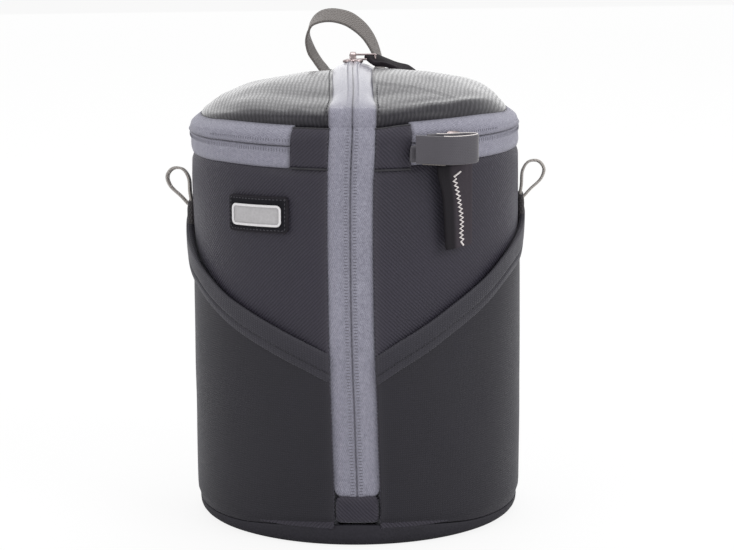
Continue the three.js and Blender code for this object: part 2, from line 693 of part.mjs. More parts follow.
function sideLoop(side) {
  const line = hemLine(side);
  const root = line[line.length - 1][1] + SIDE_LOOP_ABOVE;
  const lean = THREE.MathUtils.degToRad(SIDE_LOOP_LEAN);
  const foot = CLOTH_OUT + GAP + SIDE_LOOP_THICK;
  const path = smooth(SIDE_LOOP_SHARES, SIDE_LOOP_STEPS).map(([along, across]) => {
    const [a, c] = [along * SIDE_LOOP_LENGTH, across * SIDE_LOOP_LENGTH];
    return [foot + a * Math.sin(lean) + c * Math.cos(lean), root + a * Math.cos(lean) - c * Math.sin(lean)];
  });
  const [x, y] = onRing(side, HEM_END_ANGLE, 1);
  const out = new THREE.Vector3(x, y, 0);
  const along = new THREE.Vector3().crossVectors(out, Z);
  const half = SIDE_LOOP_WIDTH / 2;
  return slab(stripOutline(path, SIDE_LOOP_THICK), -half, half, out, Z, along);
}

addNode("left_side_loop", sideLoop(LEFT), MATERIALS.webbing);
addNode("right_side_loop", sideLoop(RIGHT), MATERIALS.webbing);

// Zip-end loop: a strip folded back on itself over the end of the top zip

const END_LOOP_SPAN = 21; // degrees
const END_LOOP_DEPTH = 11.3;
// Share of the span, and share of the bulge beyond the foot
const END_LOOP_SHARES = [[0.02, 0], [0.14, 0.01], [0.44, 0.33], [0.72, 0.37], [0.9, 0.42], [1, 0.66],
  [0.88, 0.95], [0.66, 1], [0.4, 0.8], [0.2, 0.42], [0.02, 0.15]];
const END_LOOP_STEPS = 30;

function endLoop() {
  const foot = TAPE_OUT + GAP + END_PATCH_THICK + GAP + END_LOOP_THICK / 2;
  const path = smooth(END_LOOP_SHARES, END_LOOP_STEPS).map(([along, out]) =>
    onRing(RIGHT, END_LOOP_ANGLE + along * END_LOOP_SPAN, foot + out * END_LOOP_DEPTH),
  );
  return slab(stripOutline(path, END_LOOP_THICK), END_LOOP_LOW, END_LOOP_LOW + END_LOOP_TALL, X, Y, Z);
}

function endPatch() {
  const inner = TAPE_OUT + GAP;
  const angles = anglesBetween(END_LOOP_ANGLE, END_LOOP_ANGLE + END_PATCH_SPAN);
  return plainWall(RIGHT, angles, inner, inner + END_PATCH_THICK, END_LOOP_LOW, LOWER_TOP - GAP);
}

addNode("zip_end_loop", endLoop(), MATERIALS.strap);
addNode("zip_end_patch", endPatch(), MATERIALS.strap);

// Carry handle on the back, on an anchor sewn under the top zip

const HANDLE_FOOT = SEAM_HEIGHT + GAP + GAP / 3;
const HANDLE_Y = TAPE_OUT + HANDLE_STANDOFF;
// Places across as shares of the foot's half spacing, and heights as shares of the rise
const HANDLE_SHARES = [[-1, 0], [-1, 0.17], [-1.1, 0.37], [-1.38, 0.52], [-1.74, 0.66], [-1.95, 0.78],
  [-1.7, 0.9], [-1.14, 0.98], [-0.62, 1], [-0.1, 0.95], [0.43, 0.82], [0.76, 0.66], [0.95, 0.46], [1, 0.22],
  [1, 0]];
const HANDLE_STEPS = 40;
const HANDLE_TWIST_SHARE = 0.2; // of its length at each foot

function carryHandle() {
  const line = smooth(HANDLE_SHARES, HANDLE_STEPS);
  const middle = line.map(([across, up], i) => {
    const t = i / HANDLE_STEPS;
    const rise = THREE.MathUtils.smoothstep(Math.min(t, 1 - t), 0, HANDLE_TWIST_SHARE);
    const y = HANDLE_Y + rise * (HANDLE_LOOP_STANDOFF - HANDLE_STANDOFF);
    return new THREE.Vector3(across * HANDLE_FOOT_HALF, y, HANDLE_FOOT + up * HANDLE_RISE);
  });
  const rings = middle.map((point, i) => {
    const t = i / HANDLE_STEPS;
    const twist = (Math.PI / 2) * THREE.MathUtils.smoothstep(Math.min(t, 1 - t), 0, HANDLE_TWIST_SHARE);
    const across = new THREE.Vector3(Math.cos(twist), Math.sin(twist), 0);
    const ends = [middle[Math.max(0, i - 1)], middle[Math.min(HANDLE_STEPS, i + 1)]];
    const along = i === 0 || i === HANDLE_STEPS ? Z.clone() : ends[1].clone().sub(ends[0]).normalize();
    across.addScaledVector(along, -across.dot(along)).normalize();
    const through = new THREE.Vector3().crossVectors(along, across);
    if (i === HANDLE_STEPS) through.copy(BACK).negate();
    return [[1, 1], [-1, 1], [-1, -1], [1, -1]].map(([a, b]) =>
      point
        .clone()
        .addScaledVector(across, (a * HANDLE_WIDTH) / 2)
        .addScaledVector(through, (b * HANDLE_THICK) / 2)
        .toArray(),
    );
  });
  const end = [[1, 1], [-1, 1], [-1, -1], [1, -1]];
  return solidThrough(rings, end, end);
}

function backPatch(half, low, high, thick) {
  const reach = angleAtX(half, CLOTH_OUT);
  const arc = anglesBetween(BACK_ANGLE - reach, BACK_ANGLE + reach, ANGLE_STEP / 2);
  const inner = arc.map((angle) => onRing(RIGHT, angle, CLOTH_OUT + GAP));
  const flat = CLOTH_OUT + GAP + thick;
  return slab([...inner, [inner[inner.length - 1][0], flat], [inner[0][0], flat]], low, high, X, Y, Z);
}

addNode("carry_handle", carryHandle(), MATERIALS.webbing);
addNode(
  "handle_anchor",
  backPatch(HANDLE_ANCHOR_HALF, SEAM_HEIGHT - HANDLE_ANCHOR_TALL, SEAM_HEIGHT, HANDLE_ANCHOR_THICK),
  MATERIALS.twill,
);

// Belt strap on a flat pad

const BELT_PAD_TOP = SEAM_HEIGHT - BELT_PAD_DROP;
const BELT_TOP = BELT_PAD_TOP - BELT_ANCHOR_TALL;
const BELT_FACE = CLOTH_OUT + GAP + BELT_PAD_THICK;
// Drop as a share of the strap's length, and stand-off as a share of the belt's room
const BELT_SHARES = [[0, 0], [0.02, 0], [0.05, 0.25], [0.1, 0.8], [0.17, 1], [0.24, 1], [0.48, 1], [0.7, 1],
  [0.77, 1], [0.84, 0.8], [0.91, 0.2], [0.95, 0], [1, 0]];
const BELT_STEPS = 36;

function beltStrap() {
  const inner = BELT_FACE + GAP + BELT_THICK / 2;
  const path = smooth(BELT_SHARES, BELT_STEPS).map(([down, out]) => [
    inner + out * (BELT_ROOM_DEPTH - GAP),
    BELT_TOP - GAP - down * BELT_LENGTH,
  ]);
  return slab(stripOutline(path, BELT_THICK), -BELT_WIDTH / 2, BELT_WIDTH / 2, Y, Z, X);
}

addNode(
  "belt_pad",
  backPatch(BELT_PAD_HALF, BELT_PAD_TOP - BELT_PAD_TALL, BELT_PAD_TOP, BELT_PAD_THICK),
  MATERIALS.twill,
);
addNode(
  "belt_strap_anchor",
  boxBetween(
    [-BELT_WIDTH / 2, BELT_FACE + GAP, BELT_TOP],
    [BELT_WIDTH / 2, BELT_FACE + GAP + BELT_ANCHOR_THICK, BELT_TOP + BELT_ANCHOR_TALL],
  ),
  MATERIALS.hem,
);
addNode("belt_strap", beltStrap(), MATERIALS.webbing);

// Sliders: along the zip is u, across it is v, outwards is w

function sliderShape(base, room) {
  const top = base + SLIDER_THICK;
  const [l, w, nose] = [SLIDER_LENGTH / 2, SLIDER_WIDTH / 2, SLIDER_WIDTH / 4];
  const plate = [[-l, -w + nose], [-l + nose, -w], [l, -w], [l, w], [-l + nose, w], [-l, w - nose]];
  const body = slab(plate, base, top, X, Y, Z);
  const inner = LINK_WIDTH / 2 + LINK_SLACK;
  const outer = inner + BAIL_WIRE;
  const bar = top + room + BAIL_WIRE;
  const sink = SLIDER_THICK / 2;
  const arch = [
    [-outer, top - sink], [-inner, top - sink], [-inner, top + room], [inner, top + room],
    [inner, top - sink], [outer, top - sink], [outer, bar], [-outer, bar],
  ];
  return joined(body, slab(arch, -BAIL_BAR / 2, BAIL_BAR / 2, X, Z, BACK));
}

// A flat metal link round the bail's bar, reaching away from it across the zip.
function linkShape(barLow, drop, slack) {
  const near = BAIL_BAR / 2 + slack;
  const [low, high] = [barLow - slack, barLow + BAIL_WIRE + slack];
  const outer = [[near + LINK_THICK, low - LINK_THICK], [near + LINK_THICK, high + LINK_THICK],
    [-drop, high + LINK_THICK], [-drop, low - LINK_THICK]];
  const inner = [[near, low], [near, high], [LINK_THICK - drop, high], [LINK_THICK - drop, low]];
  const half = LINK_WIDTH / 2;
  return cut(slab(outer, -half, half, Y, Z, X), slab(inner, -half - GAP, half + GAP, Y, Z, X));
}

// A doubled fabric tab, forked round the end of its link.
function tabShape(pivot, middle, length) {
  const [half, deep] = [TAB_WIDTH / 2, TAB_THICK / 2];
  const slot = LINK_WIDTH / 2 + LINK_SLACK;
  const [low, high] = [middle - deep, middle + deep];
  return cut(
    boxBetween([-half, pivot - length, low], [half, pivot + TAB_CHEEK, high]),
    boxBetween([-slot, pivot - TAB_SLOT_DEPTH, low - GAP], [slot, pivot + TAB_CHEEK + GAP, high + GAP]),
  );
}

function placed(geometry, u, v, w, origin) {
  return geometry.applyMatrix4(new THREE.Matrix4().makeBasis(u, v, w).setPosition(origin));
}

// Top zip slider, parked under the zip-end loop
const topTurn = THREE.MathUtils.degToRad(TOP_SLIDER_ANGLE);
const topU = new THREE.Vector3(Math.cos(topTurn), Math.sin(topTurn), 0);
const topW = new THREE.Vector3(Math.sin(topTurn), -Math.cos(topTurn), 0);
const topOrigin = new THREE.Vector3(0, 0, ZIP_HEIGHT);
const TOP_SLIDER_BASE = TAPE_OUT + SLIDER_GAP;
const TOP_BAR = TOP_SLIDER_BASE + SLIDER_THICK + TOP_BAIL_ROOM;
const TOP_PIVOT = LINK_THICK / 2 - TOP_LINK_DROP;
const topSlider = sliderShape(TOP_SLIDER_BASE, TOP_BAIL_ROOM);
const topLink = linkShape(TOP_BAR, TOP_LINK_DROP, GAP);
addNode("top_slider", placed(topSlider, topU, Z, topW, topOrigin), MATERIALS.metal);
addNode("top_pull_link", placed(topLink, topU, Z, topW, topOrigin), MATERIALS.metal);
addNode(
  "top_pull_tab",
  placed(tabShape(TOP_PIVOT, TOP_BAR + BAIL_WIRE / 2, TOP_TAB_LENGTH), topU, Z, topW, topOrigin),
  MATERIALS.rubber,
);

// Front zip slider, parked just behind the top of the crown, its pull lying over the right lid half
const crownTurn = THREE.MathUtils.degToRad(CROWN_SLIDER_ANGLE);
const crownU = new THREE.Vector3(0, Math.cos(crownTurn), -Math.sin(crownTurn));
const crownV = new THREE.Vector3(-1, 0, 0);
const crownW = new THREE.Vector3(0, Math.sin(crownTurn), Math.cos(crownTurn));
const crownOrigin = new THREE.Vector3(0, 0, LID_CENTRE_Z);
const CROWN_SLIDER_BASE = LID_SPHERE + CROWN_SLIDER_GAP;
const CROWN_BAR = CROWN_SLIDER_BASE + SLIDER_THICK + CROWN_BAIL_ROOM;
addNode(
  "crown_slider",
  placed(sliderShape(CROWN_SLIDER_BASE, CROWN_BAIL_ROOM), crownU, crownV, crownW, crownOrigin),
  MATERIALS.metal,
);

// The pull turns about the bail's bar, so it is drooped there before it is placed.
function drooped(geometry) {
  const bar = CROWN_BAR + BAIL_WIRE / 2;
  geometry.translate(0, 0, -bar);
  geometry.rotateX(THREE.MathUtils.degToRad(CROWN_PULL_DROOP));
  geometry.translate(0, 0, bar);
  return placed(geometry, crownU, crownV, crownW, crownOrigin);
}

addNode("crown_pull_link", drooped(linkShape(CROWN_BAR, CROWN_LINK_DROP, LINK_SLACK)), MATERIALS.metal);
addNode(
  "crown_pull_tab",
  drooped(tabShape(LINK_THICK / 2 - CROWN_LINK_DROP, CROWN_BAR + BAIL_WIRE / 2, CROWN_TAB_LENGTH)),
  MATERIALS.rubber,
);

export default pouch;
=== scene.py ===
# %% [markdown]
# # A round padded lens pouch, dressed for its picture
#
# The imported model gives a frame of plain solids: wall, lid, pockets, zips, loops and a handle.
# This lesson sews cloth, padding, tapes, stitches and metal over that frame, piece by piece.
# Everything is written in millimetres and turned into metres when a mesh is made, because a
# maker thinks of a pouch in millimetres and Blender's frame here is in metres.
# First the frame comes in. Its box is kept, so that the dressed pouch can be set against it.

# %% Load the frame and keep its box
import bpy
import bmesh
import json
from math import sin, cos, pi, radians, degrees, hypot, sqrt, exp, asin, atan2
from mathutils import Matrix, Vector, noise
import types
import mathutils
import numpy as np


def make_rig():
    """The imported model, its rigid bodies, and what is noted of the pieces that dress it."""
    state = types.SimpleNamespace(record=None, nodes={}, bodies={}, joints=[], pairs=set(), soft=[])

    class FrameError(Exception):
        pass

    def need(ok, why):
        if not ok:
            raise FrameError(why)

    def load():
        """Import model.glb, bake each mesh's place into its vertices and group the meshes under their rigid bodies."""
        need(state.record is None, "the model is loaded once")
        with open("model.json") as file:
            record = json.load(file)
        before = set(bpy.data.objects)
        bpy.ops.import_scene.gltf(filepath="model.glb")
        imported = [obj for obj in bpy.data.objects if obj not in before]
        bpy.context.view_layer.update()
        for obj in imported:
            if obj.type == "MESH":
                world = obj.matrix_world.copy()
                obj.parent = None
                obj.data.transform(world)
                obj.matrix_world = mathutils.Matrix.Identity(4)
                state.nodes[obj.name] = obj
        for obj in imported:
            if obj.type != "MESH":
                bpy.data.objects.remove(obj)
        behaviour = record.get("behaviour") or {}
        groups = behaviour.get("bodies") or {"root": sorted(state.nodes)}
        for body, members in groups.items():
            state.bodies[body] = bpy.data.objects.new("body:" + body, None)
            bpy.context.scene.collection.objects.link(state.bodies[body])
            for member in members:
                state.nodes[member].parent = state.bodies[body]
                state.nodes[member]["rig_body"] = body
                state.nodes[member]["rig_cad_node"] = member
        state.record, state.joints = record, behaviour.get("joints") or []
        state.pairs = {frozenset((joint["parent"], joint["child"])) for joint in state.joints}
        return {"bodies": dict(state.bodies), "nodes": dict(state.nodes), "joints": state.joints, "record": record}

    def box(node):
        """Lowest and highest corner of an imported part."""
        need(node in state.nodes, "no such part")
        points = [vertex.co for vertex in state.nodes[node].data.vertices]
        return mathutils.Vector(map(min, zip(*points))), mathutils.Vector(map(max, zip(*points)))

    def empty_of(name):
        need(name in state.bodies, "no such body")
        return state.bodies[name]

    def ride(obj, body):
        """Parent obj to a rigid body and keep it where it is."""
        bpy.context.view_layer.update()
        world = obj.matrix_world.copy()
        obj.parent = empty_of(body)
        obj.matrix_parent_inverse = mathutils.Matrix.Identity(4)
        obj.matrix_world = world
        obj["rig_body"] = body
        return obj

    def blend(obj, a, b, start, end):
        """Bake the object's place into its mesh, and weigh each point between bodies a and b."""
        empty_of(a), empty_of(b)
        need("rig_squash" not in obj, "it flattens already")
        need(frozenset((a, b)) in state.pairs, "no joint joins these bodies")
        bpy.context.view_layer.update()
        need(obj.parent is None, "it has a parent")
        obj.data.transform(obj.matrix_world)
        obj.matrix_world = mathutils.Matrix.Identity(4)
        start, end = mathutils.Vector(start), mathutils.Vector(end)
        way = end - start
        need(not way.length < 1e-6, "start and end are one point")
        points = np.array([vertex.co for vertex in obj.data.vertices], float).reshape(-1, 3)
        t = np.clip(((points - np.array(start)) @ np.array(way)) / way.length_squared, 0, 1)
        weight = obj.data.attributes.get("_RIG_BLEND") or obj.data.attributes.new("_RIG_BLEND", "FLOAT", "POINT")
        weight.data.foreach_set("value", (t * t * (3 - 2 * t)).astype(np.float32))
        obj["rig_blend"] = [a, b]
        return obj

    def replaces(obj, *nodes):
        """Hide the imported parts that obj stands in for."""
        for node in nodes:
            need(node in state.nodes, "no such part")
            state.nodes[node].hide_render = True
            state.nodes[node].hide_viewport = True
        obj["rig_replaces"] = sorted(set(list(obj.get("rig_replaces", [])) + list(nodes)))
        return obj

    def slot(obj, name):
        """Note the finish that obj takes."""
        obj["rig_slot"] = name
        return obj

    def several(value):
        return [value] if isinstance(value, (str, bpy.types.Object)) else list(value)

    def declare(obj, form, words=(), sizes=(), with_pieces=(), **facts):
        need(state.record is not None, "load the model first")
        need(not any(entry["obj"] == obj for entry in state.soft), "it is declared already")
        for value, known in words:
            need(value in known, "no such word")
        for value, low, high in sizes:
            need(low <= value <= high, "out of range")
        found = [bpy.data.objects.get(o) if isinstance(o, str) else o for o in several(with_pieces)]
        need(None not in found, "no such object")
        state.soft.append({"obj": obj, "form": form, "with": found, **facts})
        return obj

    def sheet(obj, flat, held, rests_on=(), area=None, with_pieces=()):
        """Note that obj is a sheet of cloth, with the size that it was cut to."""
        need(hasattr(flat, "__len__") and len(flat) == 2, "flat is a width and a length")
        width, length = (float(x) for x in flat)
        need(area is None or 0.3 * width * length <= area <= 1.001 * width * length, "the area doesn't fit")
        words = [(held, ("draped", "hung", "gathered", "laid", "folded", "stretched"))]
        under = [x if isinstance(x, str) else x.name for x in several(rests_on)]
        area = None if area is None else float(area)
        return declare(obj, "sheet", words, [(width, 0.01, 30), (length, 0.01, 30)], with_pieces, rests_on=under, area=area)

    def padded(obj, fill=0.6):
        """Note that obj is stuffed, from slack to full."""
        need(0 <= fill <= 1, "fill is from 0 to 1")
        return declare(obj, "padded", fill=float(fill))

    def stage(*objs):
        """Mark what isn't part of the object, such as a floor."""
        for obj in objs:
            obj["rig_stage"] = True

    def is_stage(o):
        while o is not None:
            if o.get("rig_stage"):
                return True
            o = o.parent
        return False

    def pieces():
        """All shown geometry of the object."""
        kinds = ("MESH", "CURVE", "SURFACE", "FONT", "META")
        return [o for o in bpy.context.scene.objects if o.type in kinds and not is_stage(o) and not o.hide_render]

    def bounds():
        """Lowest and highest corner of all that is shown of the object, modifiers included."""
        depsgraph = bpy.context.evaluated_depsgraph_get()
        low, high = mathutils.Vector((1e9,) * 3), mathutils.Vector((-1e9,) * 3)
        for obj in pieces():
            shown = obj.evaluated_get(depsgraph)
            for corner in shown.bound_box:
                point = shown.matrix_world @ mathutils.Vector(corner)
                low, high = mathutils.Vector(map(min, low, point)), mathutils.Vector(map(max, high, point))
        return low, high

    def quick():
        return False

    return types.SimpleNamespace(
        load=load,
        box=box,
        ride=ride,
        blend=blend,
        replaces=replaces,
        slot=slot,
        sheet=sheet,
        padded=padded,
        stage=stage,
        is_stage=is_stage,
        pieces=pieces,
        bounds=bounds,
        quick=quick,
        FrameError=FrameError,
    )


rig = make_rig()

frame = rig.load()
CAD_BOX = [list(corner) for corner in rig.bounds()]
MM = 0.001
print("frame:", len(frame["nodes"]), "nodes,", len(frame["bodies"]), "bodies")
print("its box in mm:", [[round(c / MM, 1) for c in corner] for corner in CAD_BOX])

# %% [markdown]
# ## The eye of the picture
#
# A long lens from a metre away keeps the round pouch from bulging towards the eye, and a
# little height shows the top of the lid. The turn about the upright is small, because the
# front zip stands nearly in the middle. The three turns are multiplied in the order in which
# a photographer would make them: pan, tilt, then a slight roll of the camera itself.

# %% Camera
LENS, SENSOR = 127.98, 36
EYE_PLACE = (0.0250, -1.0452, 0.3005)
PAN, TILT, ROLL = 1.15, 78.919, -0.314


def add(name, data):
    made = bpy.data.objects.new(name, data)
    bpy.context.scene.collection.objects.link(made)
    return made


eye = bpy.data.cameras.new("eye")
eye.lens, eye.sensor_width, eye.sensor_fit = LENS, SENSOR, "HORIZONTAL"
camera = add("eye", eye)
stand = Matrix.Translation(EYE_PLACE)
for turn, axis in ((PAN, "Z"), (TILT, "X"), (ROLL, "Z")):
    stand = stand @ Matrix.Rotation(radians(turn), 4, axis)
camera.matrix_world = stand
bpy.context.scene.camera = camera
print("camera stands", round(camera.location.length, 3), "m from the pouch's foot")

# %% [markdown]
# ## Numbers and curves that a pattern cutter uses
#
# A soft line, such as a pocket's edge, is known at a few places and flows between them.
# `flow` draws it as a cubic through those places. `ease` is a soft step from 0 to 1, which
# is how cloth passes from one state to another, and `hump` is a soft ridge. `even` walks a
# curve in equal paces, so webbing and thread get faces of one size.

# %% Soft lines through known places
CURVE_STEPS = 12


def ease(low, high, x):
    t = min(1.0, max(0.0, (x - low) / (high - low)))
    return t * t * (3 - 2 * t)


def hump(x, middle, width):
    return exp(-(((x - middle) / width) ** 2))


def flow(stops, x):
    xs = [s[0] for s in stops]
    if x <= xs[0]:
        return stops[0][1]
    if x >= xs[-1]:
        return stops[-1][1]
    k = max(i for i in range(len(xs) - 1) if xs[i] <= x)

    def slope(i):
        a, b = max(i - 1, 0), min(i + 1, len(xs) - 1)
        return (stops[b][1] - stops[a][1]) / (xs[b] - xs[a])

    h = xs[k + 1] - xs[k]
    t = (x - xs[k]) / h
    return (
        stops[k][1] * (1 + 2 * t) * (1 - t) ** 2
        + slope(k) * h * t * (1 - t) ** 2
        + stops[k + 1][1] * t * t * (3 - 2 * t)
        + slope(k + 1) * h * t * t * (t - 1)
    )


def spread(low, high, count):
    return [low + (high - low) * i / (count - 1) for i in range(count)]


def even(points, count, closed=False):
    """The same curve through the points, as count points at equal paces."""
    n = len(points)
    line = []
    for k in range(n if closed else n - 1):
        near = [(k + j) % n if closed else min(max(k + j, 0), n - 1) for j in (-1, 0, 1, 2)]
        a, b, c, d = [Vector(points[i]) for i in near]
        bend, twist = 2 * a - 5 * b + 4 * c - d, 3 * b - a - 3 * c + d
        for i in range(CURVE_STEPS):
            t = i / CURVE_STEPS
            line.append(0.5 * (2 * b + (c - a) * t + bend * t * t + twist * t**3))
    line.append(Vector(points[0 if closed else -1]))
    far = [0.0]
    for a, b in zip(line, line[1:]):
        far.append(far[-1] + (b - a).length)
    out, k = [], 0
    for i in range(count):
        want = far[-1] * i / (count if closed else count - 1)
        while k < len(far) - 2 and far[k + 1] < want:
            k += 1
        span = far[k + 1] - far[k]
        out.append(line[k].lerp(line[k + 1], (want - far[k]) / span if span else 0))
    return out


def profile(stops, count):
    """A curve through (radius, height) stops, as (path, length)."""
    path = even([(r, 0, z) for r, z in stops], count)
    return path, sum((b - a).length for a, b in zip(path, path[1:]))


def along(line, want):
    """The place that lies want mm along a profile, and the profile's outward side there."""
    path, length = line
    place = min(len(path) - 1.001, max(0.0, want / length * (len(path) - 1)))
    k = int(place)
    tangent = (path[k + 1] - path[k]).normalized()
    return path[k].lerp(path[k + 1], place - k), Vector((tangent.z, 0, -tangent.x))


print("ease(0, 1, 0.25) =", round(ease(0, 1, 0.25), 3), " flow halfway =", flow([(0, 0), (1, 1)], 0.5))

# %% [markdown]
# ## Where a place on the pouch is
#
# The pouch is a cylinder that opens in two halves, so a place is named by its half (-1 left,
# 1 right), its angle from the front, its radius and its height. The front zip of the real
# pouch isn't plumb: sewn by hand, it leans to the left on its way up. `at` builds that lean
# in for every piece near the front, and it fades out towards the sides, so tape, cloth, hem
# and stitches all keep to the same line. `tipped` does the same for the rim.

# %% Places on the pouch, with the lean of its front zip and the tip of its rim
LEFT, RIGHT = -1, 1
HALF = {LEFT: "left", RIGHT: "right"}
ZIP_LEAN = [(8, 1.0), (23, 1.0), (39, 0.5), (55, 0.1), (71, -0.45), (90, -0.85), (120, -1.05),
            (140, -0.9), (151, -0.55), (158, -0.2), (163, 0.0), (167, 0.05)]
RIM_TIP = [(-66, -1.0), (-57, -0.8), (-50, -0.3), (-35, -0.1), (0, 0), (11, 0), (17, 0.7),
           (25, 1.2), (45, 1.45), (66, 1.1)]
RIM_LEAN = [(-66, -1.1), (0, -1.3), (66, -0.9)]
RIM_SQUEEZE = [(-66, 0.3), (-62, 0.2), (-58, 0.14), (-48, 0.04), (-35, 0), (42, 0), (50, 0.03),
               (57, 0.15), (61, 0.28), (66, 0.38)]


def at(side, angle, r, z):
    fade = 1 - ease(12, 80, angle)
    turn = side * radians(angle) + flow(ZIP_LEAN, z) / r * fade
    return Vector((r * sin(turn), -r * cos(turn), z))


def tipped(p, keep=1.0):
    """The rim is sewn a little askew: high on the right, leaning left, flatter at its sides."""
    p = Vector(p)
    right = ease(-45, 45, p.x)
    leans = ease(105, 140, p.z) * (1 - right) + ease(148, 160, p.z) * right
    squeeze = flow(RIM_SQUEEZE, p.x) * max(0.0, p.z - 158)
    p.z += (flow(RIM_TIP, p.x) * ease(118, 148, p.z) - squeeze) * keep
    p.x += flow(RIM_LEAN, p.x) * ease(-52, 6, p.y) * leans
    return p


def radial(places):
    """Each place with the level direction that faces out of the pouch there."""
    return [(p, Vector((p.x, p.y, 0))) for p in places]


for node in ("left_foam", "left_cloth", "left_lid_foam", "back_foam", "base_foam"):
    print(node, [[round(c / MM, 1) for c in corner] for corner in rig.box(node)])

# %% [markdown]
# ## From points to a closed piece
#
# Every sewn panel has a face, a back and folded edges. `panel` takes one function for the
# face and one for the back, lays a grid over both and joins their borders with a rounded
# strip, like a turned hem. The mesh is closed, so it has a true inside, and its UV map is
# written in metres of cloth, so a weave keeps one scale over all pieces. Each point also
# gets an `edge` value, 1 at the border and 0 inside, which most finishes use for wear and
# the zip tape's finish uses for painted shade along its borders.

# %% Meshes from points
def finish_mesh(name, points, faces, uvs, edges, sharp=50):
    mesh = bpy.data.meshes.new(name)
    mesh.from_pydata([tuple(Vector(p) * MM) for p in points], [], faces)
    layer = mesh.uv_layers.new(name="cloth")
    for loop in mesh.loops:
        layer.data[loop.index].uv = [c * MM for c in uvs[loop.vertex_index]]
    mesh.attributes.new("edge", "FLOAT", "POINT").data.foreach_set("value", edges)
    b = bmesh.new()
    b.from_mesh(mesh)
    bmesh.ops.recalc_face_normals(b, faces=b.faces)
    b.to_mesh(mesh)
    b.free()
    mesh.shade_smooth()
    mesh.set_sharp_from_angle(angle=radians(sharp))
    return add(name, mesh)


def panel(name, us, vs, face, back, flat, roundness=0.9, strip=4, wear=1.4, butted=""):
    """A closed sheet: face and back are functions of (u, v) that give points in mm.

    With a number for back, face takes a third value, how deep the point is sunk, and the
    back lies that number deep. A border named in butted, low or high, meets the next length
    of the same tape, so it is cut square and gets no edge value: no wear and no painted shade.
    """
    nu, nv = len(us), len(vs)
    sides = (face, back)
    if not callable(back):
        sides = (lambda u, v: face(u, v, 0), lambda u, v: face(u, v, back))
    points, uvs = [], []
    for side_of in sides:
        for u in us:
            for v in vs:
                points.append(Vector(side_of(u, v)))
                uvs.append(flat(u, v))

    def index(k, i, j):
        return (k * nu + i) * nv + j

    edges = []
    for k in (0, 1):
        for i in range(nu):
            for j in range(nv):
                p = points[index(k, i, j)]
                borders = [(0, j), (nu - 1, j)]
                borders += [(i, 0)] if "low" not in butted else []
                borders += [(i, nv - 1)] if "high" not in butted else []
                edges.append(exp(-min((p - points[index(k, *q)]).length for q in borders) / wear))
    faces = []
    for i in range(nu - 1):
        for j in range(nv - 1):
            cell = [(i, j), (i + 1, j), (i + 1, j + 1), (i, j + 1)]
            faces.append([index(0, *c) for c in cell])
            faces.append([index(1, *c) for c in reversed(cell)])
    rim = [(i, 0) for i in range(nu)] + [(nu - 1, j) for j in range(1, nv)]
    rim += [(i, nv - 1) for i in range(nu - 2, -1, -1)] + [(0, j) for j in range(nv - 2, 0, -1)]
    rails = []
    for i, j in rim:
        a, b = index(0, i, j), index(1, i, j)
        inner = (min(max(i, 1), nu - 2), min(max(j, 1), nv - 2))
        middle, half = (points[a] + points[b]) / 2, (points[a] - points[b]) / 2
        away = middle - (points[index(0, *inner)] + points[index(1, *inner)]) / 2
        away -= half * (away.dot(half) / max(half.length_squared, 1e-12))
        away = away.normalized() if away.length > 1e-9 else Vector((0, 0, 0))
        square = (j == 0 and "low" in butted) or (j == nv - 1 and "high" in butted)
        away *= 0 if square else 1
        du = (i == nu - 1) - (i == 0)
        dv = (j == nv - 1) - (j == 0)
        rail = [a]
        for s in range(1, strip):
            t = pi * s / strip
            rail.append(len(points))
            points.append(middle + half * cos(t) + away * half.length * roundness * sin(t))
            reach = half.length * (1 - cos(t))
            uvs.append((uvs[a][0] + du * reach, uvs[a][1] + dv * reach))
            edges.append(edges[a] if square else 1.0)
        rails.append(rail + [b])
    for one, two in zip(rails, rails[1:] + rails[:1]):
        for s in range(strip):
            faces.append([one[s], one[s + 1], two[s + 1], two[s]])
    return finish_mesh(name, points, faces, uvs, edges)


def unrolled(radius):
    """The flat place of a piece that lies round a cylinder."""
    return lambda angle, z: (radians(angle) * radius, z)


def round_end(x, half, tall, corner):
    """How tall a plate of half length half stands at x, with its corners cut round."""
    near = max(0.0, abs(x) - (half - corner))
    return tall - corner + sqrt(max(0.0, corner**2 - near**2))


def both_ends(half, ends, inner, count):
    """Places from -half to half: fine near both ends, and count even ones between."""
    return [e - half for e in ends] + spread(-inner, inner, count) + [half - e for e in reversed(ends)]


print("panels are closed sheets with rounded, worn edges")

# %% [markdown]
# ## Webbing and cord
#
# Webbing is a flat section carried along a path, and a cord is a round one. `ribbon` does
# both: the section is a rounded strip, and a path of centre points with a direction across
# tells where it goes and how it twists. It closes its ends, or joins them in a ring.

# %% Sweeps
def section(width, thick):
    """A flat strip with round selvedges, as (across, up) places."""
    r = thick / 2
    flat = width / 2 - r
    out = []
    for way in (1, -1):
        out += [(way * (-flat + 2 * flat * k / 8), way * r) for k in range(9)]
        for k in (1, 2, 3):
            t = way * pi / 2 - pi * k / 4
            out.append((way * flat + r * cos(t), r * sin(t)))
    return out


